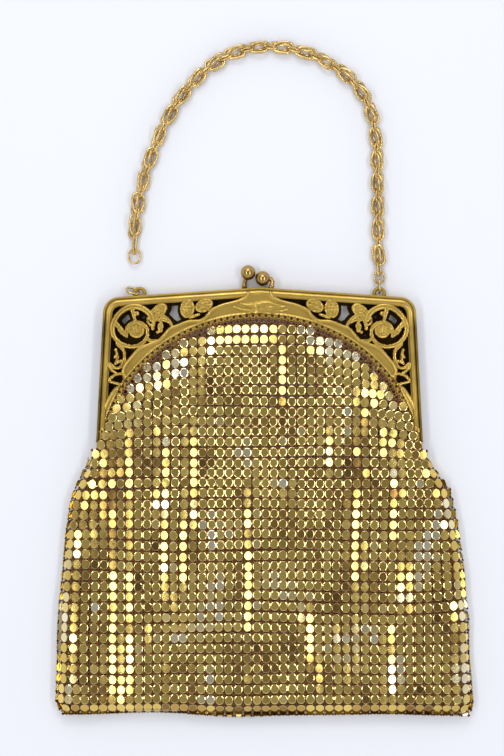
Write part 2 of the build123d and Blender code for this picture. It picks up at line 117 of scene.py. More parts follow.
long_way = room_levels([(0.0, 1.0), (0.35, 1.15), (0.7, 0.9), (0.86, 0.48), (0.95, 0.31), (1.0, 0.3)])
cross_way = room_levels([(0.0, 1.0), (0.3, 0.95), (0.5, 0.42), (0.8, 0.22), (0.94, 0.26), (1.0, 0.3)])
sideways, lengthways = (
    add_node(tree, "ShaderNodeMath", {0: split.outputs[axis], 1: split.outputs[axis]}, operation="MULTIPLY")
    for axis in "XY"
)
flat_reach = add_node(
    tree, "ShaderNodeMath", {0: sideways.outputs[0], 1: lengthways.outputs[0]}, operation="ADD"
)
how_cross = add_node(
    tree, "ShaderNodeMath", {0: sideways.outputs[0], 1: flat_reach.outputs[0]}, operation="DIVIDE"
)
blend_ways = add_node(tree, "ShaderNodeMix", {
    "Factor": how_cross.outputs[0], 6: long_way.outputs["Color"], 7: cross_way.outputs["Color"],
}, data_type="RGBA")
room = add_node(tree, "ShaderNodeBackground", {"Color": blend_ways.outputs[2]})
backdrop = add_node(tree, "ShaderNodeBackground", {"Color": (0.88, 0.9, 0.95, 1)})
rays = add_node(tree, "ShaderNodeLightPath")
choose = add_node(tree, "ShaderNodeMixShader", {
    "Fac": rays.outputs["Is Camera Ray"], 1: room.outputs[0], 2: backdrop.outputs[0],
})
add_node(tree, "ShaderNodeOutputWorld", {"Surface": choose.outputs[0]})

for name, place, width, length, power in (
    ("left_strip", (-0.36, -0.05, 0.78), 0.1, 0.62, 1.7),
    ("right_strip", (0.38, -0.05, 0.76), 0.1, 0.62, 1.6),
    ("far_softbox", (-0.05, 0.62, 0.74), 0.4, 0.5, 2.2),
):
    lamp_data = bpy.data.lights.new(name, "AREA")
    lamp_data.shape = "RECTANGLE"
    lamp_data.size = width
    lamp_data.size_y = length
    lamp_data.energy = power
    lamp = bpy.data.objects.new(name, lamp_data)
    scene.collection.objects.link(lamp)
    lamp.location = place
    lamp.rotation_euler = (-Vector(place)).to_track_quat("-Z", "X").to_euler()

# Table top: a plain white card that takes the soft shadow.
bpy.ops.mesh.primitive_plane_add(size=6, location=(0, 0, -0.02 * mm))
table_top = bpy.context.object
table_top.name = "table_top"
card = bpy.data.materials.new("white_card")
card.use_nodes = True
shader = card.node_tree.nodes["Principled BSDF"]
shader.inputs["Base Color"].default_value = (0.81, 0.83, 0.89, 1)
shader.inputs["Roughness"].default_value = 0.9
shader.inputs["Specular IOR Level"].default_value = 0.1
table_top.data.materials.append(card)

# Frame casting: each half is one brass casting, a flared U bar with a pierced plate of scrolls and
# leaves above a plain arch band. Its relief is worked out on a fine grid, because it is carved, and
# both halves come from the same pattern.
grid_step = 0.22
casting_reach = 57
casting_top = 53.2
bar_overlap = 1.0
vine_swell = 1.28
plate_back_z = 4.85
plate_face_z = 5.72
parting_z = 3.2
hinge_y = -3.5
shoulder = (53.3, 49.0)
peak_y = 52.65
leg_flare = 3.05
bar_width = 3.15
corner_radius = 5.6
foot_y = -0.4
bead_foot_y = 5.6
arch_centre_y = -5.0
arch_half = (53.81, 48.0)


def leg_x(y):
    """Half width of the frame at height y."""
    return shoulder[0] + (shoulder[1] - y) * math.tan(math.radians(leg_flare))


def smooth_line(points, rounds=2):
    """Cut the corners of an open line so that it curves."""
    line = np.array(points, float)
    for _ in range(rounds):
        near = line[:-1] * 0.75 + line[1:] * 0.25
        far = line[:-1] * 0.25 + line[1:] * 0.75
        middle = np.stack([near, far], 1).reshape(-1, 2)
        line = np.vstack([line[:1], middle, line[-1:]])
    return line


def near_line(x, y, line):
    """Distance of each grid point from a line, and its share of the way along."""
    steps = np.linalg.norm(np.diff(line, axis=0), axis=1)
    nearest = np.full(x.shape, 1e3)
    share = np.zeros(x.shape)
    done = 0.0
    for (ax, ay), (bx, by), length in zip(line[:-1], line[1:], steps):
        t = np.clip(((x - ax) * (bx - ax) + (y - ay) * (by - ay)) / length**2, 0, 1)
        gap = np.hypot(x - ax - t * (bx - ax), y - ay - t * (by - ay))
        closer = gap < nearest
        nearest = np.where(closer, gap, nearest)
        share = np.where(closer, (done + t * length) / steps.sum(), share)
        done += length
    return nearest, share


def inside(x, y, outline):
    """Distance inside a closed outline, negative outside it."""
    loop = np.vstack([outline, outline[:1]])
    gap, _ = near_line(x, y, loop)
    odd = np.zeros(x.shape, bool)
    for (ax, ay), (bx, by) in zip(loop[:-1], loop[1:]):
        if ay != by:
            crosses = ((ay > y) != (by > y)) & (x < (bx - ax) * (y - ay) / (by - ay) + ax)
            odd ^= crosses
    return np.where(odd, gap, -gap)


def in_oval(x, y, centre, width, height, turn):
    """Distance inside a turned oval, negative outside it."""
    c, s = math.cos(math.radians(turn)), math.sin(math.radians(turn))
    u = (x - centre[0]) * c + (y - centre[1]) * s
    v = -(x - centre[0]) * s + (y - centre[1]) * c
    reach = np.hypot(2 * u / width, 2 * v / height)
    return (1 - reach) * min(width, height) / 2, u, v


def grains(x, y, pitch, seed):
    """Rounded grains, as on chased leaves."""
    rng = np.random.default_rng(seed)
    best = np.full(x.shape, 9.0)
    cx, cy = np.floor(x / pitch), np.floor(y / pitch)
    table = rng.random((64, 64, 2))
    for dx in (-1, 0, 1):
        for dy in (-1, 0, 1):
            ix, iy = (cx + dx).astype(int), (cy + dy).astype(int)
            spot = table[ix % 64, iy % 64]
            grain_x, grain_y = (ix + spot[..., 0]) * pitch, (iy + spot[..., 1]) * pitch
            best = np.minimum(best, np.hypot(grain_x - x, grain_y - y))
    return np.clip(1 - best / pitch, 0, 1)


# Lines of the openwork's left corner, in mm from the hinge line's middle
band_edge = smooth_line([
    (-54.4, 9.5), (-53.2, 12.6), (-52.2, 14.6), (-50.4, 17.6), (-47.4, 19.9), (-46.6, 21.6), (-47.6, 23.4),
    (-46.7, 26.4), (-43.9, 29.7), (-42.0, 31.9), (-39.1, 33.3), (-34.9, 34.6), (-33.3, 36.4), (-31.2, 39.1),
    (-29.0, 39.8),
    (-25.0, 41.5), (-22.5, 41.7), (-20.3, 41.6), (-18.5, 43.0), (-16.9, 45.5), (-13.1, 47.2), (-8.8, 48.2),
    (-5.6, 49.2), (-4.6, 50.6), (-4.6, 52.6),
], 1)
vines = [
    ([(-36.7, 41.6), (-37.3, 43.4), (-39.1, 45.0), (-41.3, 45.9), (-43.4, 46.1), (-45.9, 45.4), (-48.1, 43.8),
      (-49.7, 41.4), (-50.5, 38.7), (-49.9, 35.8), (-48.3, 33.8), (-45.9, 32.6), (-43.4, 32.2), (-41.3, 32.8),
      (-39.5, 34.0), (-38.4, 35.8), (-38.2, 38.0), (-39.1, 39.6), (-40.7, 40.6), (-42.7, 40.8), (-44.5, 40.1),
      (-45.5, 38.5), (-45.4, 36.9)], 0.86, 0.5),
    ([(-49.0, 40.1), (-47.4, 38.2), (-45.6, 36.4)], 0.75, 0.6),
    ([(-43.6, 45.4), (-43.1, 43.0), (-42.4, 41.0)], 0.7, 0.5),
    ([(-36.2, 42.6), (-38.2, 42.3), (-38.4, 40.9), (-37.5, 39.6), (-36.6, 40.1)], 0.38, 0.34),
    ([(-36.2, 42.0), (-34.5, 41.6), (-33.3, 40.2), (-33.5, 38.0), (-34.9, 37.3)], 0.46, 0.4),
    ([(-33.3, 43.0), (-31.5, 41.9), (-30.0, 39.8)], 0.62, 0.5),
    ([(-38.4, 35.0), (-37.2, 34.2), (-35.6, 34.4)], 0.6, 0.5),
    ([(-36.6, 38.6), (-36.0, 41.0), (-34.6, 43.6)], 0.5, 0.5),
    ([(-48.6, 33.2), (-46.6, 31.4), (-46.0, 29.4), (-46.6, 26.4), (-48.2, 24.8), (-50.0, 25.2),
      (-51.2, 26.6)], 0.55, 0.45),
    ([(-49.2, 31.2), (-48.4, 28.6), (-49.2, 26.6)], 0.42, 0.42),
    ([(-46.6, 23.0), (-49.2, 22.9), (-51.0, 21.6), (-51.5, 20.4), (-49.6, 19.9), (-47.2, 19.4)], 0.42, 0.42),
    ([(-51.6, 26.2), (-50.8, 24.4), (-49.0, 23.2)], 0.4, 0.4),
]
leaves = [
    ((-42.1, 37.9), 5.6, 5.2, 0),
    ((-34.5, 44.6), 6.6, 4.2, 36),
    ((-24.7, 45.4), 5.0, 6.6, -6),
    ((-19.0, 46.4), 6.4, 4.5, 24),
    ((-46.8, 37.0), 4.6, 1.7, -40),
    ((-32.2, 41.3), 5.6, 1.5, -24),
    ((-34.0, 38.8), 1.9, 3.4, 12),
    ((-22.3, 42.8), 4.2, 1.3, 20),
    ((-42.0, 43.7), 1.7, 1.7, 0),
    ((-49.2, 29.2), 2.2, 1.2, 60),
    ((-48.0, 27.2), 2.6, 1.3, 20),
]
ribbons = [
    [(-8.6, 45.9), (-5.2, 44.6), (-1.4, 44.2), (2.2, 45.0), (6.6, 44.2), (9.4, 45.0)],
    [(-6.4, 47.2), (-3.4, 46.2), (-0.6, 46.6), (2.6, 47.4), (6.2, 46.6)],
    [(-2.6, 43.3), (-1.0, 45.0), (-2.2, 46.8)],
    [(3.0, 46.0), (6.0, 45.4), (8.6, 46.2)],
]

casting_x, casting_y = np.meshgrid(
    np.arange(-casting_reach, casting_reach + 0.01, grid_step), np.arange(foot_y, casting_top, grid_step),
    indexing="ij",
)
side = -np.abs(casting_x)
flare = math.radians(leg_flare)
leg_room = (leg_x(0) - casting_y * math.tan(flare) - np.abs(casting_x)) * math.cos(flare)
top_slope = math.atan2(peak_y - shoulder[1], shoulder[0])
top_room = (peak_y - np.abs(casting_x) * math.tan(top_slope) - casting_y) * math.cos(top_slope)
outline_room = np.minimum(leg_room, top_room)
corner_reach = np.hypot(np.clip(corner_radius - leg_room, 0, 99), np.clip(corner_radius - top_room, 0, 99))
corner_room = np.where(corner_reach > 0, corner_radius - corner_reach, np.inf)
outline_room = np.minimum(outline_room, corner_room)
growth = np.hypot(casting_x / arch_half[0], (casting_y - arch_centre_y) / arch_half[1]) - 1
growth = growth * (arch_half[1] + (arch_half[0] - arch_half[1]) * np.abs(casting_x) / arch_half[0])

solid = np.minimum(bar_width - outline_room, outline_room - bar_overlap)
relief = np.full(side.shape, 5.7)
edge_gap, _ = near_line(side, casting_y, band_edge)
band_area = np.vstack([band_edge, [(0.6, 52.6), (0.6, 30.0), (-30.0, 30.0), (-45.0, 3.0), (-54.9, 3.0)]])
in_band = np.minimum(inside(side, casting_y, band_area), growth - 0.55)
hollow = plate_face_z + 0.34 * np.clip((growth - 0.5) / 3.2, 0, 1) ** 2
lip = 0.36 * np.exp(-(((edge_gap - 0.75) / 0.55) ** 2))
lower_lip = 0.22 * np.exp(-(((growth - 0.85) / 0.3) ** 2))
band_height = hollow + lip + lower_lip
solid = np.maximum(solid, in_band)
relief = np.where(in_band > 0, np.maximum(relief, band_height), relief)
for points, start_width, end_width in vines:
    gap, share = near_line(side, casting_y, smooth_line(points))
    half = vine_swell * (start_width + (end_width - start_width) * share)
    reach = gap / half
    rib = plate_face_z + 0.42 * np.sqrt(np.clip(1 - reach**4, 0, 1)) - 0.2 * np.exp(-((reach / 0.38) ** 2))
    solid = np.maximum(solid, half - gap)
    relief = np.where(half > gap, np.maximum(relief, rib), relief)
for number, (centre, width, height, turn) in enumerate(leaves):
    reach, along, across = in_oval(side, casting_y, centre, width, height, turn)
    dome = np.sqrt(np.clip(reach / (min(width, height) / 2), 0, 1))
    vein = np.exp(-((across / 0.25) ** 2)) * (0.12 if number else 0)
    rim = 0.16 * np.exp(-(((reach - 0.3) / 0.22) ** 2))
    chased = 0.3 * (grains(side, casting_y, 0.8, number + 3) - 0.5) * dome
    leaf = plate_face_z + 0.4 * dome + chased + rim - vein
    solid = np.maximum(solid, reach)
    relief = np.where(reach > 0, np.maximum(relief, leaf), relief)
for number, points in enumerate(ribbons):
    gap, share = near_line(casting_x, casting_y, smooth_line(points))
    half = 0.75 * np.sin(np.pi * np.clip(share, 0.06, 0.94))
    relief = relief + np.where(in_band > 0, 0.26 * np.exp(-((gap / half) ** 2)), 0)
cartouche = np.exp(-(((casting_y - 45.6) / 2.0) ** 2 + (casting_x / 7.5) ** 2))
speckle = grains(casting_x, casting_y, 1.0, 20) * cartouche
relief = relief + np.where(in_band > 0, 0.16 * speckle, 0)
solid = np.minimum(solid, outline_room - bar_overlap)


def new_mesh_object(name, points, faces, smooth=True):
    """An object of these points, in metres, and faces."""
    data = bpy.data.meshes.new(name)
    data.from_pydata([tuple(point) for point in points], [], [tuple(face) for face in faces])
    data.update()
    thing = bpy.data.objects.new(name, data)
    scene.collection.objects.link(thing)
    data.polygons.foreach_set("use_smooth", [smooth] * len(data.polygons))
    return thing


def write_attribute(data, label, values):
    """Give each point of a mesh a value that its material reads."""
    layer = data.attributes.new(label, "FLOAT", "POINT")
    layer.data.foreach_set("value", np.asarray(values, np.float32).reshape(-1))


def blur(values, rounds):
    """Spread values over their neighbours on the grid."""
    for _ in range(rounds):
        wide = np.pad(values, 1, mode="edge")
        beside = wide[:-2, 1:-1] + wide[2:, 1:-1] + wide[1:-1, :-2] + wide[1:-1, 2:]
        values = (wide[1:-1, 1:-1] * 2 + beside) / 6
    return values


def cast_plate(name, room):
    """The carved plate where room is positive, with its edges drawn in to the true outline."""
    slope_x, slope_y = np.gradient(room, grid_step)
    steepness = np.maximum(np.hypot(slope_x, slope_y), 0.3)
    kept = room > -0.3 * grid_step
    padded = np.pad(kept, 1)
    whole = padded[1:-1, 1:-1].copy()
    for dx in (0, 1, 2):
        for dy in (0, 1, 2):
            whole &= padded[dx:dx + whole.shape[0], dy:dy + whole.shape[1]]
    push = np.clip(-room / steepness, -0.6 * grid_step, 0.6 * grid_step) * ~whole
    number_of = np.full(kept.shape, -1)
    number_of[kept] = np.arange(kept.sum())
    corners = np.stack([number_of[:-1, :-1], number_of[1:, :-1], number_of[1:, 1:], number_of[:-1, 1:]], -1)
    cells = corners[(corners >= 0).all(-1)]
    moved = np.stack([
        casting_x + push * slope_x / steepness, casting_y + push * slope_y / steepness,
        np.where(whole, relief, np.minimum(relief, plate_face_z)),
    ], -1)
    depth = np.clip((blur(np.where(kept, relief, 5.5), 8) - relief) / 0.2, -1, 1)
    plate = new_mesh_object(name, moved[kept] * mm, cells)
    write_attribute(plate.data, "patina_and_shade", depth[kept])
    shaping = bmesh.new()
    shaping.from_mesh(plate.data)
    bmesh.ops.delete(shaping, geom=[v for v in shaping.verts if not v.link_faces], context="VERTS")
    made = bmesh.ops.extrude_face_region(shaping, geom=shaping.faces[:], use_keep_orig=True)
    # Painted shade: the points of the plate's flat back get a high value, which the finish turns very dark
    # brown, so the back and the walls of its openings look dark.
    painted_shade_layer = shaping.verts.layers.float["patina_and_shade"]
    for item in made["geom"]:
        if isinstance(item, bmesh.types.BMVert):
            item.co.z = plate_back_z * mm
            item[painted_shade_layer] = 1.6
    bmesh.ops.recalc_face_normals(shaping, faces=shaping.faces[:])
    shaping.to_mesh(plate.data)
    shaping.free()
    return plate


pierced_plate = cast_plate("pierced_plate", solid)
# Painted shade: the back plate's openings are made 1 mm smaller, so that its flat back, painted dark, fills
# the front's openings.
smaller_openings = np.where(growth > 0.5, solid + 1.0, solid)
plate_back = cast_plate("back_plate", np.minimum(smaller_openings, outline_room - bar_overlap))


def frame_path():
    """Points along the frame's outline, each with the way outwards and a 1 where the bar is reeded."""
    path = []
    lean = math.radians(leg_flare)
    arc_turn = math.radians(90) - lean - top_slope
    tangent = corner_radius * math.tan(arc_turn / 2)
    corner_x, corner_y = shoulder
    leg_top = (corner_x + tangent * math.sin(lean), corner_y - tangent * math.cos(lean))
    middle = (leg_top[0] - corner_radius * math.cos(lean), leg_top[1] - corner_radius * math.sin(lean))
    for step in range(12):
        y = foot_y + (leg_top[1] - foot_y) * step / 12
        path.append((leg_x(y), y, math.cos(lean), math.sin(lean)))
    for step in range(9):
        turn = lean + arc_turn * step / 8
        path.append((
            middle[0] + corner_radius * math.cos(turn), middle[1] + corner_radius * math.sin(turn),
            math.cos(turn), math.sin(turn),
        ))
    top_x = path[-1][0]
    for step in range(1, 13):
        x = top_x * (1 - step / 12)
        lean_here = math.radians(90) - top_slope
        path.append((x, peak_y - x * math.tan(top_slope), math.cos(lean_here), math.sin(lean_here)))
    path[-1] = (0.0, peak_y, 0.0, 1 / math.cos(top_slope))
    half = np.array(path)
    other = half[:-1][::-1].copy()
    left = half.copy()
    left[:, 0] *= -1
    left[:, 2] *= -1
    full = np.vstack([left, other])
    rows = []
    for a, b in zip(full[:-1], full[1:]):
        reeded = a[0] >= 0
        count = max(1, int(round(np.hypot(b[0] - a[0], b[1] - a[1]) / 0.45))) if reeded else 1
        for step in range(count):
            rows.append(list(a + (b - a) * step / count) + [float(reeded)])
    rows.append(list(full[-1]) + [1.0])
    return np.array(rows)


bar_profile = [
    (0.0, 3.32, 0), (0.0, 5.72, 0), (0.12, 5.95, 0), (0.36, 6.04, 0), (0.6, 5.98, 0), (0.82, 5.84, 0),
    (1.0, 5.9, 0.1), (1.2, 6.05, 0.5), (1.55, 6.2, 1), (2.0, 6.26, 1), (2.4, 6.18, 1), (2.72, 5.98, 0.4),
    (2.95, 5.76, 0), (3.15, 5.6, 0), (3.15, 3.32, 0),
]
bar_path = frame_path()
points = []
patina_and_shade_values = []
for step, (x, y, nx, ny, reeded) in enumerate(bar_path):
    foot_fade = min(1.0, max(0.0, (y - bead_foot_y + 1.2) / 2.4))
    for inset, z, bead in bar_profile:
        reed = 0.055 * bead * reeded * (1 if step % 2 else -1)
        height = min(z, plate_face_z + (z - plate_face_z) * foot_fade) if z > plate_face_z else z
        points.append((x - nx * inset, y - ny * inset, height + reed))
        # Patina in the groove, wear on the bead, darker at the foot of each side wall, and painted shade on
        # the legs, which face the dim sides of the room.
        groove = 1.0 if 0.7 < inset < 1.05 else 0.0
        leg_shade = min(1.0, max(0.0, (44.0 - y) / 5.0))
        patina_and_shade_values.append(groove * 0.7 - 0.4 * bead + (0.25 if z < 5 else 0) + 0.6 * leg_shade)
count = len(bar_profile)
faces = []
for step in range(len(bar_path) - 1):
    for place in range(count):
        following = (place + 1) % count
        faces.append((
            step * count + place, step * count + following,
            (step + 1) * count + following, (step + 1) * count + place,
        ))
faces.append(tuple(range(count)))
faces.append(tuple(range((len(bar_path) - 1) * count, len(bar_path) * count))[::-1])
frame_bar = new_mesh_object("frame_bar", np.array(points) * mm, faces)
write_attribute(frame_bar.data, "patina_and_shade", patina_and_shade_values)
shaping = bmesh.new()
shaping.from_mesh(frame_bar.data)
bmesh.ops.recalc_face_normals(shaping, faces=shaping.faces[:])
shaping.to_mesh(frame_bar.data)
shaping.free()


def only(*things):
    """Select just these objects, the last one active."""
    bpy.ops.object.select_all(action="DESELECT")
    for thing in things:
        thing.select_set(True)
    bpy.context.view_layer.objects.active = things[-1]


def faces_outward(thing, weld=0):
    """Turn a closed mesh's faces outward, first welding points that are nearer than weld in mm."""
    only(thing)
    bpy.ops.object.mode_set(mode="EDIT")
    bpy.ops.mesh.select_all(action="SELECT")
    if weld:
        bpy.ops.mesh.remove_doubles(threshold=weld * mm)
    bpy.ops.mesh.normals_make_consistent(inside=False)
    bpy.ops.object.mode_set(mode="OBJECT")


def shade_round(thing):
    """Show every face of a mesh as part of one smooth surface."""
    thing.data.polygons.foreach_set("use_smooth", [True] * len(thing.data.polygons))


def seat(thing):
    """Put an object's place into its mesh."""
    only(thing)
    bpy.ops.object.transform_apply(location=True, rotation=True, scale=True)
    return thing


def join(name, *things):
    """Join objects into the last one."""
    for thing in things:
        seat(thing)
    only(*things)
    bpy.ops.object.join()
    joined = bpy.context.object
    joined.name = name
    joined.data.name = name
    return joined


def hinge_ear(x, z_side):
    """A round ear on edge with a web up to the leg above or below the parting plane."""
    bpy.ops.mesh.primitive_cylinder_add(
        vertices=28, radius=2.55 * mm, depth=1.25 * mm, location=(x * mm, hinge_y * mm, parting_z * mm),
        rotation=(0, math.pi / 2, 0),
    )
    ear = bpy.context.object
    bpy.ops.object.transform_apply(location=True, rotation=True, scale=True)
    bevel = ear.modifiers.new("soft_edge", "BEVEL")
    bevel.width = 0.2 * mm
    bevel.segments = 2
    bevel.limit_method = "ANGLE"
    bpy.ops.object.modifier_apply(modifier="soft_edge")
    web_place = (x * mm, (hinge_y + 2.0) * mm, (parting_z + z_side * 1.35) * mm)
    bpy.ops.mesh.primitive_cube_add(size=1, location=web_place)
    web = bpy.context.object
    web.scale = (1.25 * mm, 4.2 * mm, 2.1 * mm)
    bpy.ops.object.transform_apply(location=True, rotation=True, scale=True)
    return join("ear", web, ear)


def mirrored_copy(thing, name):
    """A copy of a piece on the other side of the parting plane, its faces turned the right way."""
    data = thing.data.copy()
    other = bpy.data.objects.new(name, data)
    scene.collection.objects.link(other)
    data.transform(Matrix.Translation((0, 0, 2 * parting_z * mm)) @ Matrix.Diagonal((1, 1, -1, 1)))
    data.flip_normals()
    return other


# Finish of the frame: mustard brass, dark olive patina in its recesses and worn bright on its high edges,
# with painted shade on its legs and on the hidden back of the pierced plate.
# One group of nodes gives the patina, and the painted shade where a piece carries it, of every brass piece,
# with its own colours in each material.
patina_and_shade_group = bpy.data.node_groups.new("BrassPatinaAndShade", "ShaderNodeTree")
for way, kind, names in (
    ("INPUT", "NodeSocketColor", ("High Colour", "Body Colour", "Patina And Shade Colour")),
    ("INPUT", "NodeSocketFloat", ("Grain Scale", "Patina And Shade")),
    ("OUTPUT", "NodeSocketColor", ("Colour",)),
    ("OUTPUT", "NodeSocketFloat", ("Roughness", "Height")),
):
    for name in names:
        patina_and_shade_group.interface.new_socket(name, in_out=way, socket_type=kind)
tree = patina_and_shade_group
given = add_node(tree, "NodeGroupInput")
place = add_node(tree, "ShaderNodeTexCoord")
blotches = add_node(tree, "ShaderNodeTexNoise", {"Vector": place.outputs["Object"], "Scale": 90, "Detail": 5})
grit = add_node(tree, "ShaderNodeTexNoise", {
    "Vector": place.outputs["Object"], "Scale": given.outputs["Grain Scale"], "Detail": 3,
})
spread = add_node(
    tree, "ShaderNodeMath", {0: blotches.outputs["Fac"], 1: 1.1, 2: -0.55}, operation="MULTIPLY_ADD"
)
low = add_node(tree, "ShaderNodeMath", {0: given.outputs["Patina And Shade"], 1: spread.outputs[0]}, operation="ADD")
to_patina_and_shade, to_high = (
    add_node(tree, "ShaderNodeMapRange", {"Value": low.outputs[0], "From Min": start, "From Max": end})
    for start, end in ((-0.05, 0.95), (-0.15, -0.75))
)
darker = add_node(tree, "ShaderNodeMix", {
    "Factor": to_patina_and_shade.outputs[0], 6: given.outputs["Body Colour"], 7: given.outputs["Patina And Shade Colour"],
}, data_type="RGBA")
lighter = add_node(tree, "ShaderNodeMix", {
    "Factor": to_high.outputs[0], 6: darker.outputs[2], 7: given.outputs["High Colour"],
}, data_type="RGBA")
dull = add_node(tree, "ShaderNodeMapRange", {
    "Value": low.outputs[0], "From Min": -0.7, "From Max": 0.9, "To Min": 0.26, "To Max": 0.62,
})
add_node(tree, "NodeGroupOutput", {
    "Colour": lighter.outputs[2], "Roughness": dull.outputs[0], "Height": grit.outputs["Fac"],
})


def brass(name, high, body, patina_and_shade, grain, bump, gloss=1.0):
    """A brass finish with patina and painted shade, read from the piece's own attribute."""
    finish = bpy.data.materials.new(name)
    finish.use_nodes = True
    tree = finish.node_tree
    shader = tree.nodes["Principled BSDF"]
    shader.inputs["Metallic"].default_value = 1.0
    depth = add_node(tree, "ShaderNodeAttribute", attribute_name="patina_and_shade")
    patina_and_shade_node = add_node(tree, "ShaderNodeGroup", {
        "High Colour": (*high, 1), "Body Colour": (*body, 1), "Patina And Shade Colour": (*patina_and_shade, 1),
        "Grain Scale": grain, "Patina And Shade": depth.outputs["Fac"],
    }, node_tree=patina_and_shade_group)
    rubbed = add_node(
        tree, "ShaderNodeMath", {0: patina_and_shade_node.outputs["Roughness"], 1: gloss}, operation="MULTIPLY"
    )
    roughen = add_node(tree, "ShaderNodeBump", {
        "Strength": 1.0, "Distance": bump * mm, "Height": patina_and_shade_node.outputs["Height"],
    })
    tree.links.new(patina_and_shade_node.outputs["Colour"], shader.inputs["Base Color"])
    tree.links.new(rubbed.outputs[0], shader.inputs["Roughness"])
    tree.links.new(roughen.outputs["Normal"], shader.inputs["Normal"])
    return finish


frame_finish = brass("frame_patina_and_shade", (0.7, 0.48, 0.13), (0.43, 0.29, 0.062), (0.042, 0.024, 0.006), 700, 0.04)
ear_places = (55.1, 53.6)
plate_back.data.transform(Matrix.Translation((0, 0, 2 * parting_z * mm)) @ Matrix.Diagonal((1, 1, -1, 1)))
plate_back.data.flip_normals()
bar_back = mirrored_copy(frame_bar, "back_bar")
front_casting = join(
    "front_casting", hinge_ear(ear_places[0], 1), hinge_ear(-ear_places[0], 1), pierced_plate, frame_bar
)
back_casting = join(
    "back_casting", hinge_ear(ear_places[1], -1), hinge_ear(-ear_places[1], -1), plate_back, bar_back
)
for casting, body, node in ((front_casting, "front", "front_frame"), (back_casting, "back", "back_frame")):
    casting.data.materials.clear()
    casting.data.materials.append(frame_finish)
    only(casting)
    bpy.ops.object.shade_smooth_by_angle(angle=math.radians(42))
    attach(casting, body)
    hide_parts(node)

# Perforated rails: a strip behind each arch, punched with a row of round holes for the wire rings.
# One punched length is modelled, and it is repeated along the arch.
hole_pitch = 2.2
rail_z = (4.2, 4.95)
rail_reach = (-0.8, 1.3)
hole_radius = 0.52
arch_turns = np.linspace(math.radians(168), math.radians(12), 4000)
arch_line = np.stack([
    arch_half[0] * np.cos(arch_turns), arch_centre_y + arch_half[1] * np.sin(arch_turns),
], -1)
arch_steps = np.concatenate([[0], np.cumsum(np.linalg.norm(np.diff(arch_line, axis=0), axis=1))])


def on_arch(along):
    """Place on the row of holes and the way outwards, counted from the arch's top in mm."""
    at = np.interp(along + arch_steps[-1] / 2, arch_steps, np.arange(len(arch_line)))
    low = np.clip(at.astype(int), 0, len(arch_line) - 2)
    spot = arch_line[low] + (arch_line[low + 1] - arch_line[low]) * (at - low)[..., None]
    way = arch_line[low + 1] - arch_line[low]
    way = way / np.linalg.norm(way, axis=-1, keepdims=True)
    return spot, np.stack([-way[..., 1], way[..., 0]], -1)


hole_sides = 12
half_pitch = hole_pitch / 2
turns = [2 * math.pi * (step + 0.5) / hole_sides for step in range(hole_sides)]
circle = [(hole_radius * math.cos(turn), hole_radius * math.sin(turn)) for turn in turns]
frame_of_hole = []
for turn in turns:
    c, s = math.cos(turn), math.sin(turn)
    reach = min(half_pitch / max(abs(c), 1e-6), 0.7 / max(abs(s), 1e-6))
    frame_of_hole.append((reach * c, reach * s))
rail_points = []
rail_faces = []
hole_total = int(arch_steps[-1] / hole_pitch)
for number in range(hole_total):
    start = len(rail_points)
    middle = (number - (hole_total - 1) / 2) * hole_pitch
    for ring, z_low, z_high in ((circle, *rail_z), (frame_of_hole, *rail_z)):
        for z in (z_high, z_low):
            rail_points += [(middle + a, b, z) for a, b in ring]
    for step in range(hole_sides):
        after = (step + 1) % hole_sides
        inner_top, inner_low, outer_top, outer_low = (start + hole_sides * part for part in range(4))
        rail_faces.append((inner_top + step, outer_top + step, outer_top + after, inner_top + after))
        rail_faces.append((inner_low + step, inner_low + after, outer_low + after, outer_low + step))
        rail_faces.append((inner_top + step, inner_top + after, inner_low + after, inner_low + step))
    edge = len(rail_points)
    for a in (-half_pitch, half_pitch):
        for b in (0.7, rail_reach[1], -0.7, rail_reach[0]):
            for z in (rail_z[1], rail_z[0]):
                rail_points.append((middle + a, b, z))
    for low, high in ((0, 2), (4, 6)):
        one, two, three, four = edge + low, edge + high, edge + high + 8, edge + low + 8
        rail_faces.append((one, two, three, four))
        rail_faces.append((one + 1, four + 1, three + 1, two + 1))
        rail_faces.append((two, two + 1, three + 1, three))
rail_points = np.array(rail_points)
spots, ways = on_arch(rail_points[:, 0])
flat = spots + ways * rail_points[:, 1:2]
front_rail = new_mesh_object(
    "front_rail", np.column_stack([flat, rail_points[:, 2]]) * mm, rail_faces, False
)
faces_outward(front_rail, 0.02)
rail_finish = brass("rail_patina", (0.8, 0.58, 0.16), (0.46, 0.31, 0.07), (0.12, 0.06, 0.014), 900, 0.04)
back_rail = mirrored_copy(front_rail, "back_rail")
for rail, body, node in ((front_rail, "front", "front_mesh_rail"), (back_rail, "back", "back_mesh_rail")):
    rail.data.materials.append(rail_finish)
    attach(rail, body)
    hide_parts(node)

# Mesh: small stamped plaques with four folded arms, held corner to corner by rings of wire.
# One plaque and one ring are modelled, and copied over the folded surface of each wall.
column_pitch = 3.1
row_pitch = 3.53
plaque_half = (1.47, 1.63)
plaque_rim = 0.2
plaque_rise = 0.055
plaque_skirt = 0.3
arm_drop = 0.18
bpy.ops.mesh.primitive_circle_add(vertices=12, radius=1 * mm, fill_type="NGON")
plaque = bpy.context.object
plaque.scale = (plaque_half[0], plaque_half[1], 1)
seat(plaque)
bpy.ops.object.mode_set(mode="EDIT")
bpy.ops.mesh.select_all(action="SELECT")
bpy.ops.mesh.inset(thickness=plaque_rim * mm, depth=0)
bpy.ops.transform.translate(value=(0, 0, plaque_rise * mm))
bpy.ops.mesh.poke(offset=0.008 * mm)
bpy.ops.mesh.select_all(action="DESELECT")
bpy.ops.object.mode_set(mode="OBJECT")
shaping = bmesh.new()
shaping.from_mesh(plaque.data)
rim = [edge for edge in shaping.edges if edge.is_boundary]
made = bmesh.ops.extrude_edge_only(shaping, edges=rim)
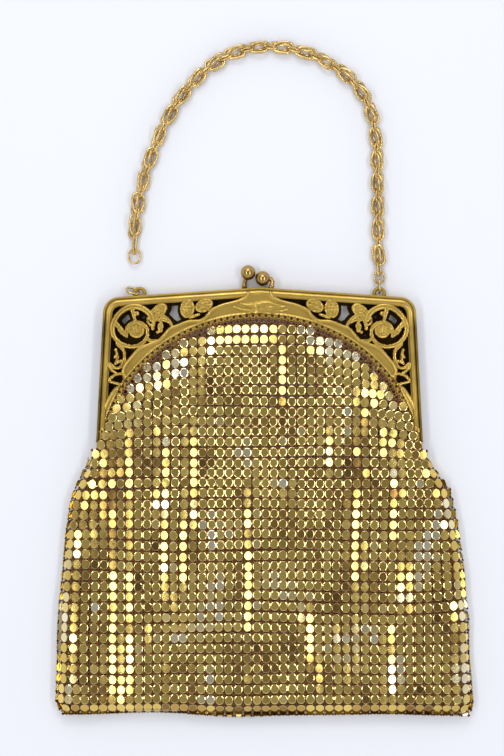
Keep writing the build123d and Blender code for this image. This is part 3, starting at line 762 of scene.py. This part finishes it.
for item in made["geom"]:
    if isinstance(item, bmesh.types.BMVert):
        item.co.x *= 0.97
        item.co.y *= 0.97
        item.co.z -= plaque_skirt * mm
low_edges = [item for item in made["geom"] if isinstance(item, bmesh.types.BMEdge) and item.is_boundary]
arms = []
for edge in low_edges:
    doubled = edge.verts[0].co + edge.verts[1].co
    if min(abs(doubled.x), abs(doubled.y)) > 1.2 * mm:
        arms.append(edge)
made = bmesh.ops.extrude_edge_only(shaping, edges=arms)
for item in made["geom"]:
    if isinstance(item, bmesh.types.BMVert):
        for axis, pitch in enumerate((column_pitch, row_pitch)):
            gap_centre = math.copysign(pitch / 2 * mm, item.co[axis])
            item.co[axis] = gap_centre + (item.co[axis] - gap_centre * 0.66) * 1.25
        item.co.z -= arm_drop * mm
bmesh.ops.recalc_face_normals(shaping, faces=shaping.faces[:])
shaping.to_mesh(plaque.data)
shaping.free()
bpy.ops.mesh.primitive_torus_add(
    major_radius=0.62 * mm, minor_radius=0.13 * mm, major_segments=8, minor_segments=4
)
wire_ring = bpy.context.object


def template(thing):
    """Points and faces of a modelled piece."""
    points = np.array([v.co for v in thing.data.vertices])
    faces = [tuple(p.vertices) for p in thing.data.polygons]
    bpy.data.objects.remove(thing)
    return points, faces


plaque_points, plaque_faces = template(plaque)
ring_points, ring_faces = template(wire_ring)
first = plaque_faces[0]
one_side, other_side = plaque_points[list(first[1:3])] - plaque_points[first[0]]
if np.cross(one_side, other_side)[2] < 0:
    plaque_faces = [face[::-1] for face in plaque_faces]

left_side = np.array([
    (-41.9, 20.6), (-46.9, 15.4), (-49.6, 8.9), (-52.4, 2.1), (-55.5, -3.8), (-57.4, -6.0), (-59.4, -9.4),
    (-61.4, -13.2), (-62.8, -16.1), (-64.1, -20.9), (-65.8, -30.9), (-66.7, -38.6), (-67.5, -47.7),
    (-68.1, -58.0), (-68.6, -75.1),
    (-69.0, -82.0), (-69.3, -88.8), (-68.5, -90.9), (-66.4, -92.8),
])
right_side = np.array([
    (46.0, 17.8), (49.3, 11.3), (51.7, 3.4), (55.5, -3.8), (57.9, -6.2), (59.6, -9.3), (62.2, -12.7),
    (64.4, -16.8), (65.1, -20.2), (67.1, -28.1), (69.2, -40.5), (70.2, -54.5), (71.3, -61.4), (71.7, -75.1),
    (72.3, -82.0), (72.7, -88.8), (72.2, -90.9), (70.5, -92.8),
])
hem_y = -92.9
map_step = 0.5
map_x = np.arange(-80, 80.01, map_step)
map_y = np.arange(-96, 50.01, map_step)
wall_x, wall_y = np.meshgrid(map_x, map_y, indexing="ij")


def arch_depth(x, y):
    """Distance in mm from the arch line, positive on the mesh's side."""
    inward = 1 - np.hypot(x / arch_half[0], (np.maximum(y, arch_centre_y) - arch_centre_y) / arch_half[1])
    return inward * arch_half[0] + (arch_half[1] - arch_half[0]) * inward * np.clip((y + 5) / 48, 0, 1)


def eased(values, low, high):
    """Rise smoothly from 0 at low to 1 at high."""
    share = np.clip((values - low) / (high - low), 0, 1)
    return share * share * (3 - 2 * share)


# Creases of the front wall: x at the top and at the foot, top and foot, half width, and tilt. A tilt of 12
# is about as much as shows the left strip at that place to the camera, and -12 the right strip.
view_distance = 611
left_strip_aim = (360, 780)
right_strip_aim = (380, 760)
aim_share = 0.54
crease_spread = 9
belly = np.interp(wall_y, [-96, -46, -14, 8, 30, 50], [6.7, 8.0, 7.6, 7.3, 7.0, 6.6])
tucked = 6.45 - 1.5 * eased(wall_y, 8, 17)
fullness = tucked + (belly - tucked) * eased(arch_depth(wall_x, wall_y), 1.5, 12)
creases = [
    (-22.0, -21.0, 44, 12, 2.3, 12.0),
    (-30.0, -30.0, 30, 8, 2.0, 9.0),
    (7.5, 8.0, 46, 12, 2.1, -12.0),
    (20.0, 20.0, 42, 20, 1.8, 10.0),
    (33.0, 34.0, 38, 22, 2.0, 7.0),
    (-36.0, -33.0, 6, -22, 2.6, 12.0),
    (-24.0, -22.0, 8, -26, 2.6, -12.0),
    (42.7, 42.7, 8, -6, 1.5, 13.0),
    (24.0, 24.0, 8, -12, 1.8, 8.0),
    (34.5, 35.0, 16, -12, 2.0, -22.0),
    (-62.5, -64.5, -16, -82, 2.2, 12.0),
    (-50.0, -49.0, -14, -62, 4.6, 16.5),
    (-33.0, -29.0, -22, -66, 2.4, 11.0),
    (-26.0, -25.0, -26, -50, 2.0, -10.0),
    (-4.5, -3.0, -14, -64, 1.8, -12.5),
    (32.0, 33.0, -16, -48, 2.4, -11.0),
    (44.0, 48.0, -38, -62, 2.6, 12.0),
    (54.0, 60.0, -22, -60, 3.0, 11.0),
    (67.0, 67.5, -30, -84, 2.2, -12.0),
    (15.0, 21.0, -56, -84, 2.8, 12.0),
    (-38.0, -37.0, -60, -88, 2.0, -10.0),
    (-6.0, -5.0, -64, -86, 2.0, 8.0),
    (58.0, 58.0, -62, -90, 3.6, 18.0),
    (38.0, 38.0, -60, -90, 3.0, 6.0),
]
for x_high, x_low, y_high, y_low, width, tilt in creases:
    share = np.clip((y_high - wall_y) / (y_high - y_low), 0, 1)
    middle = x_high + (x_low - x_high) * share + 0.7 * np.sin(wall_y / 7 + x_high)
    fade = eased(-wall_y, -y_high - 5, -y_high + 5) * eased(wall_y, y_low - 6, y_low + 6)
    spread = crease_spread * width
    offset = (wall_x - middle) / width
    reach, height = left_strip_aim if tilt > 0 else right_strip_aim
    toward = 1 if tilt > 0 else -1
    facing = math.atan2(reach + toward * x_high, height) + toward * math.atan2(abs(x_high), view_distance)
    rise = math.tan(tilt / 12 * aim_share * facing) * width / (1 - 1 / crease_spread)
    swell = np.tanh(offset) - np.clip((wall_x - middle) / spread, -1, 1)
    fullness += rise * fade * swell * eased(arch_depth(wall_x, wall_y), 2, 8)
fullness = blur(fullness, 2)
spotty = np.random.default_rng(31)


def patchy(across, along, size):
    """A smooth random map over the wall, in patches of this many map steps."""
    rough = spotty.normal(size=wall_x.shape)
    for axis, length in ((0, across), (1, along)):
        kernel = np.exp(-(np.arange(-3 * length, 3 * length + 1) / length) ** 2)
        kernel /= math.sqrt((kernel**2).sum())
        rough = np.apply_along_axis(lambda line: np.convolve(line, kernel, "same"), axis, rough)
    return rough * size


lean_across = patchy(5, 26, 1.5)
lean_along = patchy(18, 14, 0.8)
tone_patches = patchy(6, 11, 0.17)
# The tone is made darker in the listed patches, one of them a band along the hem, and lighter in one patch at
# the upper left.
for x, y, reach_x, reach_y, depth in (
    (50, -19, 13, 6, 0.28), (-50, -38, 8, 24, 0.16), (-52, -86, 12, 6, 0.24), (35, 2, 3, 14, 0.25),
    (0, -92, 90, 2.4, 0.25),
    (58, -74, 8, 14, 0.14), (-44, 30, 6, 9, -0.2),
):
    tone_patches -= depth * np.exp(-(((wall_x - x) / reach_x) ** 2) - ((wall_y - y) / reach_y) ** 2)
sag_map = patchy(30, 12, 0.28)
drift_map = patchy(14, 30, 0.22)


def sampled(values, x, y):
    """Read a map of the wall at places between its grid points."""
    i = np.clip((x - map_x[0]) / map_step, 0, len(map_x) - 1.001)
    j = np.clip((y - map_y[0]) / map_step, 0, len(map_y) - 1.001)
    a, b = i.astype(int), j.astype(int)
    s, t = i - a, j - b
    return (
        values[a, b] * (1 - s) * (1 - t) + values[a + 1, b] * s * (1 - t)
        + values[a, b + 1] * (1 - s) * t + values[a + 1, b + 1] * s * t
    )


def bag_edges(y):
    """Left and right edge of the bag at height y."""
    left = np.interp(-y, -left_side[:, 1], left_side[:, 0])
    right = np.interp(-y, -right_side[:, 1], right_side[:, 0])
    return left, right


roll = 5.2
rolled_z = 2.9


def front_wall(x, y):
    """Height of the front wall in mm, rolled over at the sides and hem."""
    left, right = bag_edges(y)
    gap = np.minimum(np.minimum(x - left, right - x), y - hem_y)
    share = np.clip(gap / roll, 0, 1)
    rise = np.sqrt(np.clip(1 - (1 - share) ** 2, 0, 1))
    over_legs = eased(y, -9, -4)
    rise = rise + (1 - rise) * over_legs
    return rolled_z + (sampled(fullness, x, y) - rolled_z) * rise


def back_wall(x, y):
    """Height of the back wall in mm, flat on the table and turned up at the sides and hem."""
    left, right = bag_edges(y)
    gap = np.minimum(np.minimum(x - left, right - x), y - hem_y)
    share = np.clip(gap / 3.2, 0, 1)
    rise = np.sqrt(np.clip(1 - (1 - share) ** 2, 0, 1))
    rise = rise + (1 - rise) * eased(y, -6, 2)
    return rolled_z - (rolled_z - 0.62) * rise + 0.75 * eased(y, 6, 24)


def arch_droop(y):
    """How far the rows droop right beside the arch at height y."""
    return 2.8 * eased(y, -14, 20)


def hang(x, y):
    """How far the rows sag below a straight line, most beside the arch and the legs."""
    inside_legs = np.where(y > arch_centre_y, arch_depth(x, y), arch_half[0] - np.abs(x))
    beside = np.exp(-np.clip(inside_legs - 2, 0, 60) / 13) * np.clip(np.abs(x) / 36, 0, 1) ** 2
    return beside * arch_droop(y) + sampled(sag_map, x, y)


def steps_along(places, heights, pitch, start, fitted=4):
    """Places a plaque's width apart along a curve from start, the last few eased to meet its ends."""
    lengths = np.concatenate([[0], np.cumsum(np.hypot(np.diff(places), np.diff(heights)))])
    zero = np.interp(start, places, lengths)
    marks = [zero]
    for way, reach in ((-1, zero), (1, lengths[-1] - zero)):
        count = max(1, int(round(reach / pitch)))
        even = max(0, count - fitted)
        steps = np.arange(1, count + 1) * pitch
        stretch = (reach - even * pitch) / ((count - even) * pitch)
        steps = np.where(steps > even * pitch, even * pitch + (steps - even * pitch) * stretch, steps)
        marks += list(zero + way * steps)
    return np.interp(np.sort(marks), lengths, places)


def kept_inside(spots, clearance):
    """Only the places on the mesh's side of the rail, and within the bag below it."""
    x, y = spots[:, 0], spots[:, 1]
    left, right = bag_edges(y)
    limit = clearance * eased(y, 7, 17) - 60 * (1 - eased(y, 3, 8))
    return spots[(arch_depth(x, y) > limit) & (x > left - 1.5) & (x < right + 1.5)]


def lay_plaques(wall, rng, facing, tilt):
    """Places of plaques and rings over a wall, with each plaque's turn."""
    fine_y = np.arange(hem_y, 50, 0.02)
    rows = steps_along(fine_y, wall(np.full_like(fine_y, 2.0), fine_y), row_pitch, -46.0)
    plaque_list, ring_list = [], []
    for y in rows:
        left, right = bag_edges(y - arch_droop(y))
        fine_x = np.arange(left, right, 0.02)
        xs = steps_along(fine_x, wall(fine_x, np.full_like(fine_x, y)), column_pitch, 2.0)
        plaque_list += [(x, y - hang(x, y)) for x in xs]
        between, ring_y = (xs[:-1] + xs[1:]) / 2, max(y - row_pitch / 2, hem_y + 0.3)
        ring_list += [(x, ring_y - hang(x, ring_y)) for x in between]
    turned = []
    for target, clearance, loose in ((plaque_list, 2.1 if facing > 0 else 1.8, tilt), (ring_list, 2.0, 9.0)):
        spots = kept_inside(np.array(target, float), clearance)
        x, y = spots[:, 0] + sampled(drift_map, spots[:, 0], spots[:, 1]), spots[:, 1]
        z = wall(x, y)
        step = 0.6
        slope_a = (wall(x + step, y) - wall(x - step, y)) / (2 * step)
        slope_b = (wall(x, y + step) - wall(x, y - step)) / (2 * step)
        normal = np.stack([-slope_a, -slope_b, np.ones_like(x)], -1) * facing
        normal[:, 0] += np.radians(sampled(lean_across, x, y) + loose * rng.normal(size=x.shape))
        normal[:, 1] += np.radians(sampled(lean_along, x, y) + loose * rng.normal(size=x.shape))
        normal /= np.linalg.norm(normal, axis=1, keepdims=True)
        droop = (hang(x + 1, y) - hang(x - 1, y)) / 2
        along = np.cross(np.stack([droop, np.ones_like(x), np.zeros_like(x)], -1), normal)
        along /= np.linalg.norm(along, axis=1, keepdims=True)
        up = np.cross(normal, along)
        turned.append((np.stack([x, y, z], -1), np.stack([along, up, normal], -1)))
    return turned


def copy_over(name, points, faces, spots, turns, lift, attributes, smooth=True):
    """One mesh with a copy of a modelled piece at each place."""
    count = len(points)
    moved = np.einsum("nij,pj->npi", turns, points) + (spots[:, None, :] + turns[:, None, :, 2] * lift) * mm
    starts = range(0, count * len(spots), count)
    all_faces = [tuple(index + start for index in face) for start in starts for face in faces]
    thing = new_mesh_object(name, moved.reshape(-1, 3), all_faces, smooth)
    for label, values in attributes.items():
        write_attribute(thing.data, label, values)
    return thing


# Finish of the mesh: gilt plaques that vary from pale cream to olive, with bright worn rims, and painted
# shade that turns their skirts and arms dark red brown, the lower under the plaque the darker.
plaque_finish = bpy.data.materials.new("plaque_gilt")
plaque_finish.use_nodes = True
tree = plaque_finish.node_tree
shader = tree.nodes["Principled BSDF"]
shader.inputs["Metallic"].default_value = 1.0
tone, worn, arm_depth = (
    add_node(tree, "ShaderNodeAttribute", attribute_name=label) for label in ("tone", "worn", "arm")
)
tones = add_node(tree, "ShaderNodeValToRGB", {"Fac": tone.outputs["Fac"]})
tones.color_ramp.elements[0].color = (0.2, 0.112, 0.032, 1)
tones.color_ramp.elements[1].color = (0.95, 0.87, 0.64, 1)
for position, colour in (
    (0.2, (0.44, 0.28, 0.07)), (0.42, (0.62, 0.45, 0.12)), (0.6, (0.74, 0.55, 0.15)),
    (0.72, (0.84, 0.63, 0.19)), (0.82, (0.82, 0.7, 0.38)),
):
    tones.color_ramp.elements.new(position).color = (*colour, 1)
place = add_node(tree, "ShaderNodeTexCoord")
scuff = add_node(tree, "ShaderNodeTexNoise", {"Vector": place.outputs["Object"], "Scale": 520, "Detail": 2})
brighten = add_node(tree, "ShaderNodeMix", {
    "Factor": worn.outputs["Fac"], 6: tones.outputs["Color"], 7: (0.98, 0.82, 0.46, 1),
}, data_type="RGBA")
# Painted shade: the skirts and arms are mixed towards dark red brown, the lower they lie the more.
darken = add_node(tree, "ShaderNodeMix", {
    "Factor": arm_depth.outputs["Fac"], 6: brighten.outputs[2], 7: (0.13, 0.052, 0.014, 1),
}, data_type="RGBA")
polish = add_node(tree, "ShaderNodeMapRange", {"Value": scuff.outputs["Fac"], "To Min": 0.12, "To Max": 0.22})
dulled = add_node(tree, "ShaderNodeMath", {
    0: arm_depth.outputs["Fac"], 1: 0.35, 2: polish.outputs[0],
}, operation="MULTIPLY_ADD")
dent = add_node(tree, "ShaderNodeBump", {"Distance": 0.004 * mm, "Height": scuff.outputs["Fac"]})
tree.links.new(darken.outputs[2], shader.inputs["Base Color"])
tree.links.new(dulled.outputs[0], shader.inputs["Roughness"])
tree.links.new(dent.outputs["Normal"], shader.inputs["Normal"])

wire_finish = brass("ring_copper", (0.7, 0.42, 0.2), (0.4, 0.2, 0.08), (0.16, 0.06, 0.02), 900, 0.02)

reach = np.hypot(plaque_points[:, 0] / plaque_half[0], plaque_points[:, 1] / plaque_half[1]) / mm
rim_worn = np.where((reach > 0.98) & (plaque_points[:, 2] > -0.02 * mm), 0.7, 0.0)
arm_shade = np.clip((-plaque_points[:, 2] / mm - 0.12) / 0.18, 0, 1)
rng = np.random.default_rng(7)
for side_name, wall, facing, tilt in (("front", front_wall, 1, 1.0), ("back", back_wall, -1, 1.6)):
    (spots, turns_here), (ring_spots, ring_turns) = lay_plaques(wall, rng, facing, tilt)
    edge_depth = arch_depth(spots[:, 0], spots[:, 1])
    # Plaques are made paler next to the arch and along the bag's sides lower down.
    paler = 0.3 * np.exp(-np.clip(edge_depth - 3, 0, 60) / 4) * eased(spots[:, 1], -2, 6)
    side_gap = np.minimum(spots[:, 0] - bag_edges(spots[:, 1])[0], bag_edges(spots[:, 1])[1] - spots[:, 0])
    paler += 0.3 * np.exp(-np.clip(side_gap, 0, 60) / 4) * eased(-spots[:, 1], 0, 12)
    drawn = rng.normal(0.5, 0.11, len(spots)) + sampled(tone_patches, spots[:, 0], spots[:, 1]) + paler
    tones_here = np.clip(drawn, 0.02, 0.98)
    plaques = copy_over(
        f"{side_name}_plaques", plaque_points, plaque_faces, spots, turns_here, 0.0,
        {
            "tone": np.repeat(tones_here[:, None], len(plaque_points), 1),
            "worn": np.repeat(rim_worn[None, :], len(spots), 0),
            "arm": np.repeat(arm_shade[None, :], len(spots), 0),
        },
        False,
    )
    plaques.data.materials.append(plaque_finish)
    rings = copy_over(
        f"{side_name}_mesh_rings", ring_points, ring_faces, ring_spots, ring_turns, -0.3,
        {"patina_and_shade": np.full((len(ring_spots), len(ring_points)), 0.3)},
    )
    rings.data.materials.append(wire_finish)
    for piece in (plaques, rings):
        if side_name == "front":
            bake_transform(piece, "back", "front", start=(0, -0.009, 0.0055), end=(0, -0.0015, 0.0055))
        else:
            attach(piece, "back")
    if side_name == "front":
        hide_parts("mesh_bag", "mesh_front_yoke")

# Rail rings: copper wire rings that hang the mesh on the rail, one through each hole and three more rows
# through those, which lead to the top plaques.
rail_ring = []
for row, inward, height, lean in (
    (0, 0.7, 4.95, 24.0), (1, 1.75, 5.1, 10.0), (0, 2.9, 4.75, 6.0), (1, 4.0, 4.6, 4.0),
):
    marks = (np.arange(hole_total) - (hole_total - 1) / 2 + 0.5 * row) * hole_pitch
    marks = marks[np.abs(marks) < arch_steps[-1] / 2 - 8]
    ring_at, ways = on_arch(marks)
    for (x, y), way, swing in zip(ring_at, ways, rng.normal(size=len(marks))):
        normal = np.array([way[0] * math.sin(math.radians(lean)), way[1] * math.sin(math.radians(lean)), 1.0])
        normal[:2] += 0.16 * swing * np.array([-way[1], way[0]])
        normal /= np.linalg.norm(normal)
        along = np.cross([0.0, 1.0, 0.0], normal)
        along /= np.linalg.norm(along)
        spot = np.array([x, y, height]) - np.append(way, 0) * inward
        rail_ring.append((spot, np.stack([along, np.cross(normal, along), normal], -1)))
ring_spots = np.array([spot for spot, _ in rail_ring])
ring_turns = np.array([turned for _, turned in rail_ring])
front_rail_rings = copy_over(
    "front_rail_rings", ring_points * [1.2, 1.2, 1.1], ring_faces, ring_spots, ring_turns, 0.0,
    {"patina_and_shade": np.full((len(ring_spots), len(ring_points)), 0.15)},
)
back_rail_rings = mirrored_copy(front_rail_rings, "back_rail_rings")
for piece, body in ((front_rail_rings, "front"), (back_rail_rings, "back")):
    piece.data.materials.clear()
    piece.data.materials.append(wire_finish)
    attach(piece, body)

# Hinge rivets: brass pins with rounded heads on both sides of each pair of ears.
for side_name, sign in (("left", -1), ("right", 1)):
    low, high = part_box(f"{side_name}_hinge_rivet")
    bpy.ops.mesh.primitive_cylinder_add(
        vertices=20, radius=0.78 * mm, depth=high[0] - low[0] - 0.3 * mm,
        location=(low + high) / 2, rotation=(0, math.pi / 2, 0),
    )
    pin = bpy.context.object
    heads = []
    for end in (low[0] + 0.24 * mm, high[0] - 0.24 * mm):
        bpy.ops.mesh.primitive_uv_sphere_add(
            segments=20, ring_count=10, radius=1.25 * mm, location=(end, hinge_y * mm, parting_z * mm)
        )
        head = bpy.context.object
        head.scale = (0.19, 1, 1)
        heads.append(head)
    rivet = join(f"{side_name}_rivet", *heads, pin)
    rivet.data.materials.append(frame_finish)
    only(rivet)
    bpy.ops.object.shade_smooth_by_angle(angle=math.radians(40))
    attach(rivet, "back")
    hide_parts(f"{side_name}_hinge_rivet")

# Clasp: two turned balls on bent stems that snap past each other.
clasp_finish = brass(
    "clasp_patina", (0.74, 0.53, 0.22), (0.44, 0.29, 0.1), (0.14, 0.08, 0.03), 500, 0.02, 0.5
)


def tube_along(name, points, radii, sides=14):
    """A closed round bar through points, each with its own radius."""
    made = []
    line = [Vector(point) for point in points]
    for index, point in enumerate(line):
        way = (line[min(index + 1, len(line) - 1)] - line[max(index - 1, 0)]).normalized()
        across = way.cross(Vector((0.1, 0.2, 1))).normalized()
        other = way.cross(across)
        for step in range(sides):
            turn = 2 * math.pi * step / sides
            made.append(point + (across * math.cos(turn) + other * math.sin(turn)) * radii[index])
    faces = []
    for row in range(0, (len(line) - 1) * sides, sides):
        for step in range(sides):
            after = (step + 1) % sides
            faces.append((row + step, row + after, row + sides + after, row + sides + step))
    faces.append(tuple(range(sides))[::-1])
    faces.append(tuple((len(line) - 1) * sides + step for step in range(sides)))
    bar = new_mesh_object(name, [tuple(p * mm) for p in made], faces)
    faces_outward(bar)
    return bar


for side_name, ball_centre, stem_points in (
    ("back", (-3.9, 57.8, 3.2),
     [(-5.2, 52.2, 1.55), (-5.2, 53.4, 1.6), (-5.0, 54.8, 2.1), (-4.4, 56.4, 2.8), (-4.1, 57.2, 3.1)]),
    ("front", (1.1, 55.8, 3.2),
     [(3.7, 52.2, 4.85), (4.3, 53.4, 4.7), (4.5, 54.6, 4.3), (3.9, 55.6, 3.8), (2.0, 55.9, 3.3)]),
):
    bpy.ops.mesh.primitive_uv_sphere_add(
        segments=40, ring_count=24, radius=2.6 * mm, location=[value * mm for value in ball_centre]
    )
    ball = seat(bpy.context.object)
    ball.name = f"{side_name}_ball"
    ball.data.materials.append(clasp_finish)
    shade_round(ball)
    stem = tube_along(f"{side_name}_stem", stem_points, [0.95, 0.85, 0.8, 0.8, 0.8])
    stem.data.materials.append(clasp_finish)
    for piece, node in ((ball, f"{side_name}_clasp_ball"), (stem, f"{side_name}_clasp_stem")):
        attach(piece, side_name)
        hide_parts(node)

# Chain: pairs of oval wire links that lie across each other with a smaller one between them, joined by
# short upright links. The lug links and end rings are bent from the same wire.
chain_finish = brass("chain_patina", (0.92, 0.74, 0.38), (0.66, 0.48, 0.2), (0.2, 0.12, 0.04), 700, 0.02, 0.6)


def wire_oval(length, width, wire, major=22, minor=8):
    """An oval of round wire, long along Y, at the origin."""
    bpy.ops.mesh.primitive_torus_add(
        major_radius=(width - wire) / 2 * mm, minor_radius=wire / 2 * mm,
        major_segments=major, minor_segments=minor,
    )
    oval = bpy.context.object
    stretch = (length - width) / 2 * mm
    for vert in oval.data.vertices:
        vert.co.y += stretch * max(-1.0, min(1.0, vert.co.y / (0.3 * width * mm)))
    shade_round(oval)
    return oval


def placed(thing, centre, turn, roll_angle=0.0, skew=0.0, shift=0.0, lift=0.0):
    """Turn a link about the chain's line and set it in place."""
    along_chain = Matrix.Translation(centre) @ Matrix.Rotation(turn, 4, "Z")
    rolled = Matrix.Rotation(roll_angle, 4, "Y") @ Matrix.Rotation(skew, 4, "Z")
    thing.matrix_world = along_chain @ Matrix.Translation((0, shift * mm, lift * mm)) @ rolled
    return thing


pair_count = 23
ring_wire = 0.75
joint_reach = 2.7
end_reach = 3.0
ring_grip = 1.05
centres = []
for number in range(pair_count):
    low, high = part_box(f"chain_link_pair_{number + 1:02d}")
    centres.append((low + high) / 2)
wobble = np.random.default_rng(11)
chain_pieces = []
turns_of = []
for number in range(pair_count):
    ahead = centres[min(number + 1, pair_count - 1)] - centres[max(number - 1, 0)]
    turns_of.append(math.atan2(ahead.y, ahead.x) - math.pi / 2)
for number in range(pair_count):
    for length, width, wire, roll_by, skew_by, side_by, lift_by in (
        (7.9, 4.9, 0.9, 30, 10, 0.35, 0.3), (7.9, 4.9, 0.9, -30, -10, -0.35, -0.25),
        (6.0, 3.3, 0.8, 66, 16, 0.2, 0.1),
    ):
        chain_pieces.append(placed(
            wire_oval(length, width, wire), centres[number], turns_of[number],
            math.radians(roll_by + wobble.normal() * 9), math.radians(skew_by + wobble.normal() * 4),
            side_by + wobble.normal() * 0.25, lift_by,
        ))
for number in range(-1, pair_count):
    if number < 0 or number == pair_count - 1:
        low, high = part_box("left_loose_ring" if number < 0 else "right_end_ring")
        pair = centres[max(number, 0)]
        start = Vector(((low.x + high.x) / 2, high.y - ring_grip * mm, pair.z))
        end = pair - Vector((0, end_reach * mm, 0))
    else:
        way = (centres[number + 1] - centres[number]).normalized()
        start, end = centres[number] + way * joint_reach * mm, centres[number + 1] - way * joint_reach * mm
    run = end - start
    turn = math.atan2(run.y, run.x) - math.pi / 2
    for sign in (1, -1):
        link = wire_oval(run.length / mm + 2.2, 2.3, 0.7, 16, 8)
        chain_pieces.append(placed(
            link, (start + end) / 2, turn, math.radians(90 + sign * 38), math.radians(sign * 6), sign * 0.3
        ))
low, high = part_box("right_end_ring")
chain_pieces.append(placed(wire_oval(5.0, 4.2, ring_wire, 28, 8), (low + high) / 2, 0))
chain = join("chain", *chain_pieces)
low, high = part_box("left_loose_ring")
loose_ring = seat(placed(wire_oval(5.6, 4.7, ring_wire, 30, 8), (low + high) / 2, 0))
loose_ring.name = "loose_ring_wire"
lug_z = 2.2
lug_links = []
for side_name, sign, lie, rolled in (("left", -1, 72.0, 52.0), ("right", 1, 0.0, 90.0)):
    hinge = Vector((sign * 41.2683, 50.8263, lug_z)) * mm
    link = wire_oval(5.5, 3.8, ring_wire, 24, 8)
    turn = math.radians(lie)
    middle = hinge + Matrix.Rotation(turn, 3, "Z") @ Vector((0, (5.5 - ring_wire) / 2 * mm, 0))
    link = seat(placed(link, middle, turn, math.radians(rolled)))
    link.name = f"{side_name}_lug_oval"
    lug_links.append((link, f"{side_name}_lug_link"))
pair_nodes = [f"chain_link_pair_{number + 1:02d}" for number in range(pair_count)]
for piece, body, replaced in (
    (chain, "chain", pair_nodes + ["chain_joining_links", "right_end_ring"]),
    (loose_ring, "loose_ring", ["left_loose_ring"]),
    (lug_links[0][0], "left_lug_link", ["left_lug_link"]),
    (lug_links[1][0], "right_lug_link", ["right_lug_link"]),
):
    piece.data.materials.clear()
    piece.data.materials.append(chain_finish)
    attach(piece, body)
    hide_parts(*replaced)

# Lugs: half-round eyes brazed to the back half's top edge.
lug_x = 41.2
for side_name, sign in (("left", -1), ("right", 1)):
    slope = -top_slope * sign
    edge_y = peak_y - lug_x * math.tan(top_slope)
    bpy.ops.mesh.primitive_torus_add(
        major_radius=1.65 * mm, minor_radius=0.55 * mm, major_segments=28, minor_segments=8,
        location=(sign * (lug_x + 0.05) * mm, (edge_y + 0.95) * mm, lug_z * mm),
    )
    eye = bpy.context.object
    eye.scale = (1.1, 1.0, 0.8)
    eye = seat(eye)
    only(eye)
    bpy.ops.object.mode_set(mode="EDIT")
    bpy.ops.mesh.select_all(action="SELECT")
    bpy.ops.mesh.bisect(
        plane_co=(sign * (lug_x + 0.05) * mm, (edge_y - 0.2) * mm, 0),
        plane_no=(math.sin(-slope), math.cos(slope), 0), use_fill=True, clear_inner=True, clear_outer=False,
    )
    bpy.ops.object.mode_set(mode="OBJECT")
    faces_outward(eye)
    eye.name = f"{side_name}_eye"
    eye.data.materials.append(frame_finish)
    shade_round(eye)
    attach(eye, "back")
    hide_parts(f"{side_name}_chain_lug")
